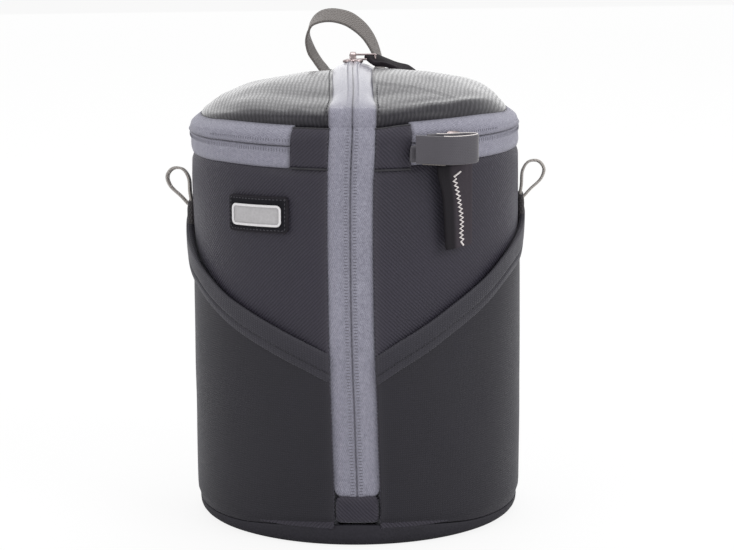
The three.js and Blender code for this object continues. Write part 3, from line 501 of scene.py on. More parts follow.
def ribbon(name, path, across, shape, ring=False):
    path = [Vector(p) for p in path]
    n, m = len(path), len(shape)
    points, uvs, far = [], [], 0.0
    round_of = [0.0]
    for k in range(1, m):
        round_of.append(round_of[-1] + (Vector(shape[k]) - Vector(shape[k - 1])).length)
    for i, p in enumerate(path):
        before = path[(i - 1) % n] if ring or i else p
        after = path[(i + 1) % n] if ring or i < n - 1 else p
        way = (after - before).normalized()
        wide = Vector(across[i] if isinstance(across, list) else across)
        wide = (wide - way * wide.dot(way)).normalized()
        up = way.cross(wide)
        for k, (a, b) in enumerate(shape):
            points.append(p + wide * a + up * b)
            uvs.append((far, round_of[k]))
        far += (path[(i + 1) % n] - p).length
    faces = []
    for i in range(n if ring else n - 1):
        for k in range(m):
            j, l = (i + 1) % n, (k + 1) % m
            faces.append([i * m + k, i * m + l, j * m + l, j * m + k])
    if not ring:
        faces.append(list(range(m)))
        faces.append([(n - 1) * m + k for k in reversed(range(m))])
    return finish_mesh(name, points, faces, uvs, [0.0] * len(points), sharp=60)


def across_of(path, ring=False):
    """A direction across a cord's path, carried along it without twist."""
    n = len(path)
    out, last = [], None
    for i in range(n):
        a = path[(i - 1) % n] if ring or i else path[0]
        b = path[(i + 1) % n] if ring or i < n - 1 else path[-1]
        way = (b - a).normalized()
        last = last or way.orthogonal().normalized()
        last = (last - way * last.dot(way)).normalized()
        out.append(last.copy())
    return out


def cord(name, path, radius, sides=6, ring=False):
    turns = [2 * pi * k / sides for k in range(sides)]
    circle = [(radius * cos(t), radius * sin(t)) for t in turns]
    return ribbon(name, path, across_of(path, ring), circle, ring)


print("a webbing section has", len(section(10, 1.6)), "places round it")

# %% [markdown]
# ## Stitches and zip teeth, by Geometry Nodes
#
# A seam is a line with a stitch every so many millimetres, and a zip coil is the same idea
# with its beads across the line. One node tree makes both: a thread line comes in, it is cut
# at even paces, and a small bead is set on each, turned along the line and upright on the
# cloth. The line carries the cloth's outward direction as an attribute called `out`.
# The tree ends in Realize Instances and Set Material, and its result is kept as a plain mesh.

# %% The bead row tree
BEAD_SIZES = ("Pace", "Bead Length", "Bead Width", "Bead Height")


def new_node(tree, kind, settings=None, inputs=None):
    """A node of a kind, with its settings, and then the values or links of its sockets."""
    made = tree.nodes.new(kind)
    for key, value in (settings or {}).items():
        setattr(made, key, value)
    for key, value in (inputs or {}).items():
        value = getattr(value, "socket", value)
        if isinstance(value, bpy.types.NodeSocket):
            tree.links.new(value, made.inputs[key])
        else:
            made.inputs[key].default_value = value
    return made


def bead_row_tree():
    tree = bpy.data.node_groups.new("bead_row", "GeometryNodeTree")
    socket = tree.interface.new_socket
    socket("Geometry", in_out="INPUT", socket_type="NodeSocketGeometry")
    for label in BEAD_SIZES:
        socket(label, in_out="INPUT", socket_type="NodeSocketFloat")
    socket("Material", in_out="INPUT", socket_type="NodeSocketMaterial")
    socket("Geometry", in_out="OUTPUT", socket_type="NodeSocketGeometry")

    def first(kind, inputs=None, **settings):
        return new_node(tree, kind, settings, inputs).outputs[0]

    given = tree.nodes.new("NodeGroupInput").outputs
    curve = first("GeometryNodeMeshToCurve", {"Mesh": given["Geometry"]})
    paces = first("GeometryNodeResampleCurve", {"Curve": curve, "Length": given["Pace"]}, mode="LENGTH")
    bead = first("GeometryNodeMeshUVSphere", {"Segments": 6, "Rings": 4, "Radius": 0.5})
    size = first("ShaderNodeCombineXYZ", {axis: given[s] for axis, s in zip("XYZ", BEAD_SIZES[1:])})
    shaped = first("GeometryNodeTransform", {"Geometry": bead, "Scale": size})
    tangent = first("GeometryNodeInputTangent")
    out = first("GeometryNodeInputNamedAttribute", {"Name": "out"}, data_type="FLOAT_VECTOR")
    turn = first("FunctionNodeAlignRotationToVector", {"Vector": tangent}, axis="X")
    turn = first("FunctionNodeAlignRotationToVector", {"Rotation": turn, "Vector": out}, axis="Z", pivot_axis="X")
    placed = first("GeometryNodeInstanceOnPoints", {"Points": paces, "Instance": shaped, "Rotation": turn})
    real = first("GeometryNodeRealizeInstances", {"Geometry": placed})
    smooth = first("GeometryNodeSetShadeSmooth", {"Geometry": real})
    coat = first("GeometryNodeSetMaterial", {"Geometry": smooth, "Material": given["Material"]})
    new_node(tree, "NodeGroupOutput", None, {"Geometry": coat})
    return tree


BEAD_ROW = bead_row_tree()
print("bead row tree:", len(BEAD_ROW.nodes), "nodes")

# %% [markdown]
# A row takes its lines as lists of (place, outward direction). `beads` lays them down as a
# wire mesh, runs the tree on it, and keeps only the finished mesh.

# %% Rows of beads
def beads(name, lines, sizes, material):
    """Rows of beads: sizes are the pace between them, and a bead's length, width and height."""
    points, outs, wires = [], [], []
    for line in lines:
        for k, (p, out) in enumerate(line):
            if k:
                wires.append((len(points) - 1, len(points)))
            points.append(tuple(Vector(p) * MM))
            outs.extend(Vector(out).normalized())
    mesh = bpy.data.meshes.new(name + "_line")
    mesh.from_pydata(points, wires, [])
    mesh.attributes.new("out", "FLOAT_VECTOR", "POINT").data.foreach_set("vector", outs)
    row = add(name + "_line", mesh)
    modifier = row.modifiers.new("row", "NODES")
    modifier.node_group = BEAD_ROW
    wanted = {label: size * MM for label, size in zip(BEAD_SIZES, sizes)}
    wanted["Material"] = material
    for item in BEAD_ROW.interface.items_tree:
        if item.in_out == "INPUT" and item.name in wanted:
            modifier[item.identifier] = wanted[item.name]
    view = bpy.context.evaluated_depsgraph_get()
    view.update()
    made = bpy.data.meshes.new_from_object(row.evaluated_get(view))
    made.name = name
    bpy.data.objects.remove(row)
    return add(name, made)


print("rows of beads are ready")

# %% [markdown]
# ## Shader maths that reads like maths
#
# `Num` wraps one number socket, so a weave is written as a sum and a product, and each sign
# adds its Math node. `Finish` starts a material and makes any other node from its type, its
# settings and its inputs. Colours go through a Mix node and never through Math. They are
# written as a screen shows them, from 0 to 255, and `light` turns them into Blender's light.

# %% Num and Finish
def light(colour):
    shares = [c / 255 for c in colour]
    return [c / 12.92 if c <= 0.04045 else ((c + 0.055) / 1.055) ** 2.4 for c in shares]


class Num:
    def __init__(self, finish, socket):
        self.finish, self.socket = finish, socket

    def op(self, kind, *terms):
        made = self.finish.node("ShaderNodeMath", {"operation": kind}, dict(enumerate(terms)))
        return Num(self.finish, made.outputs[0])

    def __add__(self, other):
        return self.op("ADD", self, other)

    def __sub__(self, other):
        return self.op("SUBTRACT", self, other)

    def __rsub__(self, other):
        return self.op("SUBTRACT", other, self)

    def __mul__(self, other):
        return self.op("MULTIPLY", self, other)

    __radd__, __rmul__ = __add__, __mul__

    def wave(self, pitch):
        """A soft wave from 0 to 1 that repeats every pitch metres."""
        return self.op("SINE", self * (2 * pi / pitch)) * 0.5 + 0.5

    def power(self, exponent):
        return self.op("POWER", self, exponent)

    def most(self, other):
        return self.op("MAXIMUM", self, other)

    def clipped(self):
        return self.op("MINIMUM", self, 1.0).most(0.0)


class Finish:
    """The nodes of a material, or of any other owner of a node tree."""

    def __init__(self, name, owner=None):
        self.material = owner or bpy.data.materials.new(name)
        self.material.use_nodes = True
        self.tree = self.material.node_tree
        self.tree.nodes.clear()

    def node(self, kind, settings=None, inputs=None):
        return new_node(self.tree, kind, settings, inputs)

    def num(self, kind, output, settings=None, inputs=None):
        return Num(self, self.node(kind, settings, inputs).outputs[output])

    def cloth_place(self):
        """The place on the cloth, in metres along and up."""
        uv = self.node("ShaderNodeUVMap", {"uv_map": "cloth"}).outputs[0]
        parts = self.node("ShaderNodeSeparateXYZ", None, {0: uv})
        return Num(self, parts.outputs[0]), Num(self, parts.outputs[1])

    def object_place(self):
        return self.node("ShaderNodeTexCoord").outputs["Object"]

    def noise(self, scale, detail=3.0, rough=0.55):
        inputs = {"Vector": self.object_place(), "Scale": scale, "Detail": detail, "Roughness": rough}
        return self.num("ShaderNodeTexNoise", "Fac", {"noise_dimensions": "3D"}, inputs)

    def edge(self):
        return self.num("ShaderNodeAttribute", "Fac", {"attribute_name": "edge"})

    def glance(self):
        """0 where the cloth is seen square on, 1 at a grazing angle. It is only for gloss."""
        return self.num("ShaderNodeLayerWeight", "Facing", None, {"Blend": 0.5})

    def mix(self, a, b, factor):
        made = self.node("ShaderNodeMix", {"data_type": "RGBA"}, {0: factor})
        for slot, value in ((6, a), (7, b)):
            if isinstance(value, bpy.types.NodeSocket):
                self.tree.links.new(value, made.inputs[slot])
            else:
                made.inputs[slot].default_value = (*light(value), 1.0)
        return made.outputs[2]

    def surface(self, colour, rough, height, depth, fixed, varied=None):
        """The finished cloth, metal or rubber: a bump of some depth in metres under its gloss."""
        bump = self.node("ShaderNodeBump", None, {"Height": height, "Distance": depth, "Strength": 1.0})
        inputs = {"Base Color": colour, "Roughness": rough, "Normal": bump.outputs["Normal"]}
        inputs.update(fixed)
        inputs.update(varied or {})
        shader = self.node("ShaderNodeBsdfPrincipled", None, inputs)
        self.node("ShaderNodeOutputMaterial", None, {0: shader.outputs[0]})
        return self.material


print("a mid grey on the screen is", round(light((128,))[0], 3), "in light")

# %% [markdown]
# ## The finishes of the pouch
#
# The wall is a nylon twill: fine ridges run at a slant, to the right on the left half and to
# the left on the right half, because the halves are cut as mirrored panels. Ridges are bump,
# broken by the crossing yarn, a slow noise varies the dye, and a fixed sheen stands for the
# nap. The lid's cloth has coarser, dotted ribs that stand nearly upright, with glossy tops.
# That gloss grows at a grazing angle, which makes the lid look pale although it is dark.

# %% Twill
COOL, PLAIN = (0.93, 0.93, 1.0, 1.0), (1.0, 1.0, 1.0, 1.0)
TWILL_PITCH = 0.0011


def nap(weight, rough, tint, specular=0.5, coat=0.0, coat_rough=0.03, coat_ior=1.5):
    """The fixed gloss of a cloth: its sheen, its specular level and its coat."""
    return {"Sheen Weight": weight, "Sheen Roughness": rough, "Sheen Tint": tint, "Specular IOR Level": specular,
            "Coat Weight": coat, "Coat Roughness": coat_rough, "Coat IOR": coat_ior}


def wall_twill():
    f = Finish("wall_twill")
    u, v = f.cloth_place()
    wander = (f.noise(160, 2.0) - 0.5) * 0.0012
    ridge = (wander - u - v).wave(TWILL_PITCH * sqrt(2)).power(0.8)
    yarn = (u + v * 0.35).wave(0.00062) * 0.35 + 0.65
    height = ridge * yarn * (f.noise(620, 2.0, 0.6) * 1.1 + 0.3)
    dye, fibre = f.noise(38, 4.0), f.noise(1900, 2.0)
    shade = height * 0.5 + dye * 0.25 + fibre * 0.25
    colour = f.mix((17, 15, 25), (58, 54, 67), shade.clipped())
    colour = f.mix(colour, (80, 77, 84), (f.edge() * 0.2).clipped())
    return f.surface(colour, dye * 0.12 + 0.56, height + fibre * 0.2, 0.00026,
                     nap(0.32, 0.22, COOL, 0.28, 0.12, 0.42))


def lid_twill():
    """The lid's coarser ribs: dotted, nearly upright, glossy on their tops and matt between."""
    f = Finish("lid_twill")
    u, v = f.cloth_place()
    wander = (f.noise(120, 2.0) - 0.5) * 0.0016
    rib = (u - v * 0.07 + wander).wave(0.0016)
    dots = (v + u * 0.8 + wander * 2.0).wave(0.0042)
    height = (rib * (dots * 0.45 + 0.55) * (f.noise(520, 2.0, 0.6) * 0.9 + 0.45)).clipped()
    dye, fibre = f.noise(38, 4.0), f.noise(1900, 2.0)
    colour = f.mix((16, 15, 20), (58, 56, 62), (height * 0.5 + dye * 0.25 + fibre * 0.25).clipped())
    gloss = ((height * 0.55 + 0.42) * (f.glance() * 1.4 - 0.08)).clipped()
    return f.surface(colour, dye * 0.1 + 0.4, height + fibre * 0.15, 0.00012,
                     nap(0.12, 0.15, PLAIN, 0.2, coat_rough=0.24), {"Coat Weight": gloss})


WALL_TWILL, LID_TWILL = wall_twill(), lid_twill()
print("twill ridges every", TWILL_PITCH / MM, "mm on the wall")

# %% [markdown]
# The pockets are a stretch knit, matt and darker, with tiny stitches in columns. The hem is
# the same knit folded into a band, so it shows denser columns and a polished upper fold.
# Zip tape is a mixed lilac grey yarn in fine upright ribs, and the padding's lining is a
# brushed knit.

# %% Knit, tape and linings
def knit(name, dark, light, column, row, depth, rough, sheen, lift):
    f = Finish(name)
    u, v = f.cloth_place()
    loops = u.wave(column) * (v + u.wave(column) * (row * 0.25)).wave(row)
    dye, fibre = f.noise(55, 4.0), f.noise(2300, 2.0)
    colour = f.mix(dark, light, (loops * 0.4 + dye * 0.35 + fibre * 0.3).clipped())
    colour = f.mix(colour, (80, 78, 84), (f.edge() * lift).clipped())
    return f.surface(colour, dye * 0.1 + rough, loops + fibre * 0.25, depth,
                     nap(sheen, 0.3, COOL, 0.25, 0.08, 0.45))


def tape(name, sheen, glossy):
    f = Finish(name)
    u, v = f.cloth_place()
    herring = (u + v.wave(0.0021) * 0.0006).wave(0.00085)
    streak = f.noise(2600, 1.0)
    shade = f.noise(900, 3.0, 0.7) * 1.1 - 0.3 + f.noise(45, 3.0) * 0.25 + herring * 0.18
    colour = f.mix((104, 103, 116), (160, 159, 173), shade.clipped())
    # painted shade: the tape darkens towards its borders, where it dips under the cloth and into the slit
    colour = f.mix(colour, (66, 64, 72), (f.edge() * 0.75).power(1.6).clipped())
    gloss = {"Coat Weight": (f.glance() * 1.9 - 0.62).clipped()} if glossy else None
    return f.surface(colour, streak * 0.1 + 0.6, herring * 0.7 + v.wave(0.00055) * 0.35 + streak * 0.3, 0.00016,
                     nap(sheen, 0.35, (0.95, 0.95, 1.0, 1.0), 0.35, 0.0, 0.22, 1.6), gloss)


POCKET_KNIT = knit("pocket_knit", (16, 15, 21), (42, 40, 48), 0.0008, 0.0009, 0.00008, 0.6, 0.14, 0.1)
HEM_KNIT = knit("hem_knit", (21, 20, 27), (58, 56, 65), 0.0011, 0.0009, 0.00014, 0.52, 0.2, 0.12)
LINING_KNIT = knit("lining_knit", (84, 84, 90), (112, 112, 118), 0.0012, 0.0013, 0.00016, 0.66, 0.25, 0.0)
ZIP_TAPE, LID_TAPE = tape("zip_tape", 0.3, False), tape("lid_zip_tape", 0.1, True)
print("knit, lining and tape are ready")

# %% [markdown]
# Webbing is woven in bars that cross its width, with a bright and a dark yarn in turn. Belt
# webbing is darker and coarser. The woven look comes from two waves added, and noise along
# the yarn makes the small colour changes that real webbing has.

# %% Webbing, thread and coil
def webbing(name, dark, light, bar=0.0013, rib=0.0011, depth=0.00022, sheen=0.3):
    f = Finish(name)
    u, v = f.cloth_place()
    cell = (u + v.wave(rib * 2) * (bar * 0.5)).wave(bar) * 0.6 + v.wave(rib) * 0.5
    dye, fibre = f.noise(70, 3.0), f.noise(2600, 2.0)
    colour = f.mix(dark, light, (cell * 0.45 + dye * 0.3 + fibre * 0.3).clipped())
    return f.surface(colour, fibre * 0.15 + 0.58, cell + fibre * 0.3, depth,
                     nap(sheen, 0.4, (1.0, 0.98, 0.96, 1.0)))


def nylon(name, dark, light, rough, sheen):
    f = Finish(name)
    dye, fibre = f.noise(400, 3.0), f.noise(3000, 2.0)
    colour = f.mix(dark, light, (dye * 0.6 + fibre * 0.5).clipped())
    return f.surface(colour, fibre * 0.2 + rough, fibre, 0.00005, {"Sheen Weight": sheen, "IOR": 1.53})


CARRY_WEBBING = webbing("carry_webbing", (66, 61, 59), (116, 110, 107))
LOOP_WEBBING = webbing("loop_webbing", (136, 130, 126), (196, 190, 185), bar=0.0011)
# painted shade: a dark copy of the side loop's webbing, for its foot between the wall and the hem
TAIL_WEBBING = webbing("tail_webbing", (24, 22, 25), (62, 57, 60), bar=0.0011)
BELT_WEBBING = webbing("belt_webbing", (24, 23, 29), (62, 60, 67), bar=0.0017, rib=0.0014)
END_TAPE = webbing("end_tape", (44, 42, 48), (84, 81, 88), bar=0.0007, rib=0.0006, depth=0.00008, sheen=0.4)
LADDER_THREAD = nylon("ladder_thread", (58, 57, 66), (92, 91, 102), 0.6, 0.1)
DARK_THREAD = nylon("dark_thread", (10, 9, 14), (34, 32, 40), 0.6, 0.05)
LABEL_THREAD = nylon("label_thread", (34, 33, 40), (60, 58, 66), 0.6, 0.05)
GREY_THREAD = nylon("grey_thread", (70, 69, 77), (104, 102, 110), 0.5, 0.2)
PALE_THREAD = nylon("pale_thread", (205, 198, 198), (240, 234, 232), 0.5, 0.2)
COIL_NYLON = nylon("coil_nylon", (26, 25, 31), (52, 50, 58), 0.35, 0.0)
print("webbings and threads are ready")

# %% [markdown]
# The sliders are die-cast and plated, a little warm in the light, with a fine orange-peel
# and hairline scratches that only roughness shows. The crown's tab and the label patch are
# moulded soft plastic with a fine pebble grain, and the label's frame is its paler edge. The
# long tab at the front is coated cloth, with painted shade darkening its left side, which
# faces away from the light.

# %% Metal, moulded plastic and coated cloth
def plated(name):
    f = Finish(name)
    scratch = f.noise(90, 5.0, 0.7)
    colour = f.mix((118, 104, 104), (176, 164, 163), scratch)
    return f.surface(colour, scratch * 0.16 + 0.14, f.noise(700, 2.0), 0.00003, {"IOR": 2.2, "Metallic": 1.0})


def moulded(name, dark, light, rough=0.45, grain=1500, depth=0.00006, coat=0.0, shine=0.3):
    f = Finish(name)
    cells = {"Vector": f.object_place(), "Scale": grain}
    pebble = f.num("ShaderNodeTexVoronoi", "Distance", {"feature": "F1"}, cells)
    dye = f.noise(60, 4.0)
    colour = f.mix(dark, light, (dye * 0.7 + pebble * 0.4).clipped())
    colour = f.mix(colour, (84, 78, 84), (f.edge() * 0.15).clipped())
    return f.surface(colour, dye * 0.2 + rough, pebble, depth,
                     {"Coat Weight": coat, "Coat Roughness": 0.35, "Specular IOR Level": shine})


def tab_cloth():
    f = Finish("tab_cloth")
    u, v = f.cloth_place()
    grain, dye = f.noise(1500, 2.0), f.noise(70, 3.0)
    colour = f.mix((42, 39, 44), (66, 60, 66), (grain * 0.6 + dye * 0.5 - 0.05).clipped())
    # painted shade: the tab's left strip is darkened for the side that faces away from the light
    bound = ((0.0044 - u) * 600.0).clipped()
    colour = f.mix(colour, (22, 20, 24), bound * 0.9)
    return f.surface(colour, dye * 0.1 + 0.62, grain, 0.00005, {"Specular IOR Level": 0.15})


PLATED, TAB_CLOTH = plated("plated_metal"), tab_cloth()
TAB_RUBBER = moulded("tab_rubber", (6, 5, 7), (30, 26, 30), 0.72, shine=0.12)
# painted light: a paler, glossier copy of the ladder thread, for the brightly lit crest of the lid's tape
CREST_THREAD = moulded("crest_thread", (88, 87, 98), (120, 119, 130), 0.6, coat=0.9)
LABEL_RUBBER = moulded("label_rubber", (6, 6, 10), (22, 21, 28), 0.65, shine=0.15)
FRAME_RUBBER = moulded("frame_rubber", (196, 194, 196), (226, 224, 226))
PLATE_RUBBER = moulded("plate_rubber", (150, 148, 150), (184, 182, 184), 0.5, 900)
BASE_RUBBER = moulded("base_cloth", (17, 16, 22), (42, 40, 48), 0.6, 1100, 0.00009)
print(len(bpy.data.materials), "materials")

# %% [markdown]
# ## How a piece joins the moving frame
#
# Each half of the pouch swings on its back seam when the front zip is open, but its foot is
# sewn to the base. So the pieces of a half follow the back at the foot and the half from
# well above it, and the cloth opens in a V as the real one does. `dress` gives a piece its
# finish, its stand-in for the plain solids, and the body or the pair of bodies it follows.

# %% Dress a piece
FOOT_BLEND = {"start": (0, 0, 0.012), "end": (0, 0, 0.118)}
HINGE_BLEND = {"start": (0, 0, 0.1515), "end": (0, 0, 0.1645)}


def dress(piece, finish, slot, nodes=(), body=None, half=None, hinge=None, pad=None, cloth=None):
    if finish is not None:
        piece.data.materials.clear()
        piece.data.materials.append(finish)
    if nodes:
        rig.replaces(piece, *nodes)
    if body:
        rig.ride(piece, body)
    elif half:
        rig.blend(piece, "back", half + "_half", **FOOT_BLEND)
    elif hinge:
        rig.blend(piece, hinge + "_half", hinge + "_lid", **HINGE_BLEND)
    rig.slot(piece, slot)
    if pad is not None:
        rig.padded(piece, fill=pad)
    if cloth:
        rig.sheet(piece, held="stretched", **cloth)
    return piece


print("pieces of a half follow the back below", FOOT_BLEND["start"][2], "m")

# %% [markdown]
# ## The wall's cloth
#
# The twill wall is two panels that run from the front zip round to the back seam. Each is
# folded under along the zip, so its front edge stands a little proud of the tape, and it
# rolls in where the top zip is sewn on. The foam behind it pushes it out softly between the
# seams. The hem of the pocket lies over it, so only what is above the hem is left to swell.

# %% Hem line and wall panels
HEM_RISE = [(0, 0), (0.124, 0.16), (0.3, 0.357), (0.477, 0.52), (0.68, 0.7), (0.91, 0.87), (1, 1)]
RIGHT_SAG = [(8, 1.9), (14, 2.0), (26, 2.3), (37, 1.4), (51, 0.4), (64, -0.8), (90, 0)]
HEM_TALL, SEAM_TOP, WALL_FOOT = 10.8, 149.0, 7.5
FRONT_EDGE, HINGE_ANGLE = 7.92, 156.0
TWILL_THICK = 1.15
FOLD_STEPS = (0, 0.5, 1.1, 1.9)


def hem_top(side, angle):
    share = min(1.0, max(0.0, (angle - FRONT_EDGE) / (90 - FRONT_EDGE)))
    rise, past = flow(HEM_RISE, share), 0.25 * max(0, angle - 90)
    if side == LEFT:
        return 77.2 + 44 * rise - 3.8 * sin(pi * share) + past
    return 78 + 46.5 * rise - flow(RIGHT_SAG, angle) + past


def soft(x, y, seed, size):
    """A slow, seeded unevenness of hand-sewn cloth, from -size to size."""
    return noise.noise(Vector((x * 0.9, y * 0.9, seed * 7.3))) * size


def belly(z, middle, out):
    """The wall's radius without its unevenness: fuller at mid height, rolled in at the top."""
    full = out * sin(pi * (z - WALL_FOOT) / (SEAM_TOP - WALL_FOOT))
    return middle + full - 0.9 * (1 - ease(0, 3.5, SEAM_TOP - z))


def wall_face(side, angle, z, sink):
    r = belly(z, 65.25, 0.35) + 0.45 * hump(angle, FRONT_EDGE, 1.7)
    r += soft(angle / 19, z / 24, side, 0.35) * ease(0, 12, SEAM_TOP - z)
    return tipped(at(side, angle, r - sink, z))


WALL_ANGLES = [FRONT_EDGE + 0.35 + a for a in FOLD_STEPS] + spread(FRONT_EDGE + 3.6, HINGE_ANGLE - 0.3, 88)
WALL_HEIGHTS = spread(WALL_FOOT + 0.3, 60, 20) + spread(62, SEAM_TOP - 4, 48)
WALL_HEIGHTS += [SEAM_TOP - 2.8, SEAM_TOP - 1.8, SEAM_TOP - 1.0, SEAM_TOP - 0.45]


def wall_panel(side):
    return panel(HALF[side] + "_wall_cloth", WALL_ANGLES, WALL_HEIGHTS,
                 lambda a, z, sink: wall_face(side, a, z, sink), TWILL_THICK, unrolled(65.3))


walls = {side: wall_panel(side) for side in HALF}
for wall in walls.values():
    print(wall.name, len(wall.data.polygons), "faces")

# %% [markdown]
# ## The lid's cloth
#
# From above, each half of the lid is a half disc with a strip cut away for the zip. Its rim
# is not a sharp edge: the foam rolls the cloth over, steep at the seam and nearly flat on
# top. The profile from the seam to the crown is drawn once, as a path of (radius, height),
# and its length is what a flat disc of cloth would need. `on_lid` lays a place of that flat
# disc over the profile. The right half is fuller than the left, as in the photograph.

# %% Lid profile and panels
LID_LINE = profile([(60.4, 163.8), (61.2, 164.9), (61.1, 166.2), (59.9, 167.5), (57.0, 169.1), (50, 171.5),
                    (42, 173.6), (30, 176.1), (15, 177.9), (0, 178.4)], 160)
LID_FLAT = LID_LINE[1]
LID_SWELL = {
    LEFT: [(0, 0), (19, 0.2), (27, 0), (35, 0.1), (43, 0), (50, -0.8), (56, -0.9), (61, -0.2)],
    RIGHT: [(0, 0.4), (15, 0.7), (25, 1.1), (30, 1.5), (35, 1.5), (42, 2.0), (46, 2.0), (52, 1.7),
            (56, 1.0), (61, 0)],
}
LID_CREASE = [(10, -25.2), (25, -29.5), (40, -38)]
CREST_NARROW = 0.09  # the zip tape draws in where it crosses the lid
DISC_TURNS = 90
DISC_ENDS = ([0, 0.012, 0.03, 0.055], [0.93, 0.955, 0.975, 0.99, 1])
DISC_ROWS = 30
SEAM_SIZES = (2.4, 1.7, 0.45, 0.3)


def on_lid(side, x, y, line, sink=0.0):
    """Lays the flat place (x, y) of a half disc over a profile, sunk by some mm."""
    reach = hypot(x, y)
    inward = line[1] - reach
    here, normal = along(line, inward)
    here = here - normal * sink
    turn = atan2(x, -y)
    px, py = here.x * sin(turn), -here.x * cos(turn)
    rim = 1 - ease(8, 26, inward)
    lift = flow(LID_SWELL[side], px) * (1 - ease(57.5, 61, here.x))
    lift += cos(turn) ** 2 * (2.5 * ease(0, 4, inward) * rim - 0.6 * rim)
    px -= CREST_NARROW * px * ease(-60, -45, py) * (1 - ease(9, 20, px))
    return tipped((side * px, py, here.z + lift), 1 - ease(4, 12, inward))


def half_disc(side, name, near, face, back, length, columns=DISC_TURNS, rows=DISC_ROWS, wear=1.4):
    """A half disc cut at x = near, as slices across it from front to back."""
    first = asin((near + 0.8) / length)

    def flat_place(turn, share):
        return near + (length * sin(turn) - near) * share, -length * cos(turn)

    def flat(turn, share):
        x, y = flat_place(turn, share)
        return side * x, y

    shares = DISC_ENDS[0] + spread(0.09, 0.9, rows) + DISC_ENDS[1]
    return panel(name, spread(first, pi - first, columns), shares, lambda t, s: face(*flat_place(t, s)),
                 lambda t, s: back(*flat_place(t, s)), flat, wear=wear)


def lid_cloth(side):
    def face(x, y):
        p = on_lid(side, x, y, LID_LINE, -0.45 * hump(x, 9, 1.6))
        p.z += soft(x / 17, y / 15, side + 5, 0.55) * (1 - ease(50, 60, hypot(x, y)))
        if side == RIGHT:
            crease = ease(-1.2, 1.2, y - flow(LID_CREASE, x))
            p.z += 0.42 * crease * ease(6, 12, x) * (1 - ease(36, 44, x))
        return p

    return half_disc(side, HALF[side] + "_lid_cover", 9.35, face,
                     lambda x, y: on_lid(side, x, y, LID_LINE, 1.1), LID_FLAT)


def lid_stitches(side):
    line = []
    for y in spread(-LID_FLAT + 3.2, LID_FLAT - 3.2, 90):
        p = on_lid(side, 10.3, y, LID_LINE, -0.42)
        line.append((p, p - on_lid(side, 10.3, y, LID_LINE, 1.0)))
    return beads(HALF[side] + "_lid_stitches", [line], SEAM_SIZES, DARK_THREAD)


lids = {side: lid_cloth(side) for side in HALF}
for side, half in HALF.items():
    dress(lid_stitches(side), None, "twill", body=half + "_lid")
print("the lid's flat cloth is", round(2 * LID_FLAT, 1), "mm across for a lid of 125.0")

# %% [markdown]
# ## Filling the cloth
#
# Padded cloth swells most where nothing holds it. The four outer panels are closed shells,
# so Blender's cloth is given a pressure inside them, with the back of each shell, its folded
# edges and all that the pocket covers held still. Twenty frames are enough for the cloth to
# settle. How far a point may move is capped, because the real cover is taut over its foam.

# %% Cloth simulation
CLOTH = {"quality": 6, "mass": 0.15, "tension_stiffness": 12, "compression_stiffness": 12, "shear_stiffness": 6,
         "bending_stiffness": 1.2, "use_pressure": True, "uniform_pressure_force": 3.0, "vertex_group_mass": "held"}
FILL_FRAMES = 20
WALL_CAP, LID_CAP = 0.7, 1.3


def hold(piece, face_count, covered):
    """Holds a shell's back, its worn edges and all that is covered, and gives it pressure."""
    worn = [item.value for item in piece.data.attributes["edge"].data]
    group = piece.vertex_groups.new(name="held")
    for vertex in piece.data.vertices:
        i = vertex.index
        still = i >= face_count or worn[i] > 0.5 or covered(vertex.co / MM)
        weight = 1.0 if still else worn[i]
        if weight > 0:
            group.add([i], weight, "REPLACE")
    cloth = piece.modifiers.new("fill", "CLOTH")
    for key, value in CLOTH.items():
        setattr(cloth.settings, key, value)
    cloth.settings.effector_weights.gravity = 0
    cloth.collision_settings.use_collision = False
    cloth.collision_settings.use_self_collision = False


def fill_all(caps):
    before = {p: [v.co.copy() for v in p.data.vertices] for p in caps}
    scene = bpy.context.scene
    for step in range(1, FILL_FRAMES + 1):
        scene.frame_set(step)
    view = bpy.context.evaluated_depsgraph_get()
    for piece, cap in caps.items():
        after = [v.co.copy() for v in piece.evaluated_get(view).data.vertices]
        moved = []
        for vertex, old, new in zip(piece.data.vertices, before[piece], after):
            step = new - old
            if step.length > cap * MM:
                step *= cap * MM / step.length
            moved.append(step.length / MM)
            vertex.co = old + step
        piece.modifiers.clear()
        piece.vertex_groups.clear()
        print(piece.name, "swells by up to", round(max(moved), 2), "mm, mean", round(sum(moved) / len(moved), 2))
    scene.frame_set(1)


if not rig.quick():
    for side, wall in walls.items():
        hold(wall, len(WALL_ANGLES) * len(WALL_HEIGHTS),
             lambda p, side=side: p.z < hem_top(side, degrees(atan2(side * p.x, -p.y))) - 3)
    for lid in lids.values():
        hold(lid, DISC_TURNS * (DISC_ROWS + sum(len(ends) for ends in DISC_ENDS)), lambda p: False)
    fill_all({**{wall: WALL_CAP for wall in walls.values()}, **{lid: LID_CAP for lid in lids.values()}})

for side, half in HALF.items():
    dress(walls[side], WALL_TWILL, "twill", [half + "_cloth"], half=half,
          cloth={"flat": (0.169, 0.1415), "rests_on": [half + "_foam"]})
    dress(lids[side], LID_TWILL, "twill", [half + "_lid_cloth"], body=half + "_lid",
          cloth={"flat": (0.131, 0.056), "area": 0.0055, "rests_on": [half + "_lid_foam"]})
print("the covers are on")

# %% [markdown]
# ## The pockets and their hems
#
# A stretch pocket covers the lower part of each half. It is sewn into the zip seam, the base
# seam and the side, and a folded elastic band finishes its mouth. The band climbs from the
# zip towards the side, stands a little off the wall, and bulges at its outer end, where the
# side loop's tape pushes it out. One row of stitches near its lower edge closes the fold.

# %% Pockets and hems
BASE_SEAM = [(0, 9.2), (15, 8.6), (29, 7.3), (48, 5.4), (75, 5.2), (100, 6.0), (180, 6.8)]
HEM_END = {LEFT: 68.4, RIGHT: 67.5}
HEM_SEAM = 0.30  # the stitched groove, as a share of the band's height


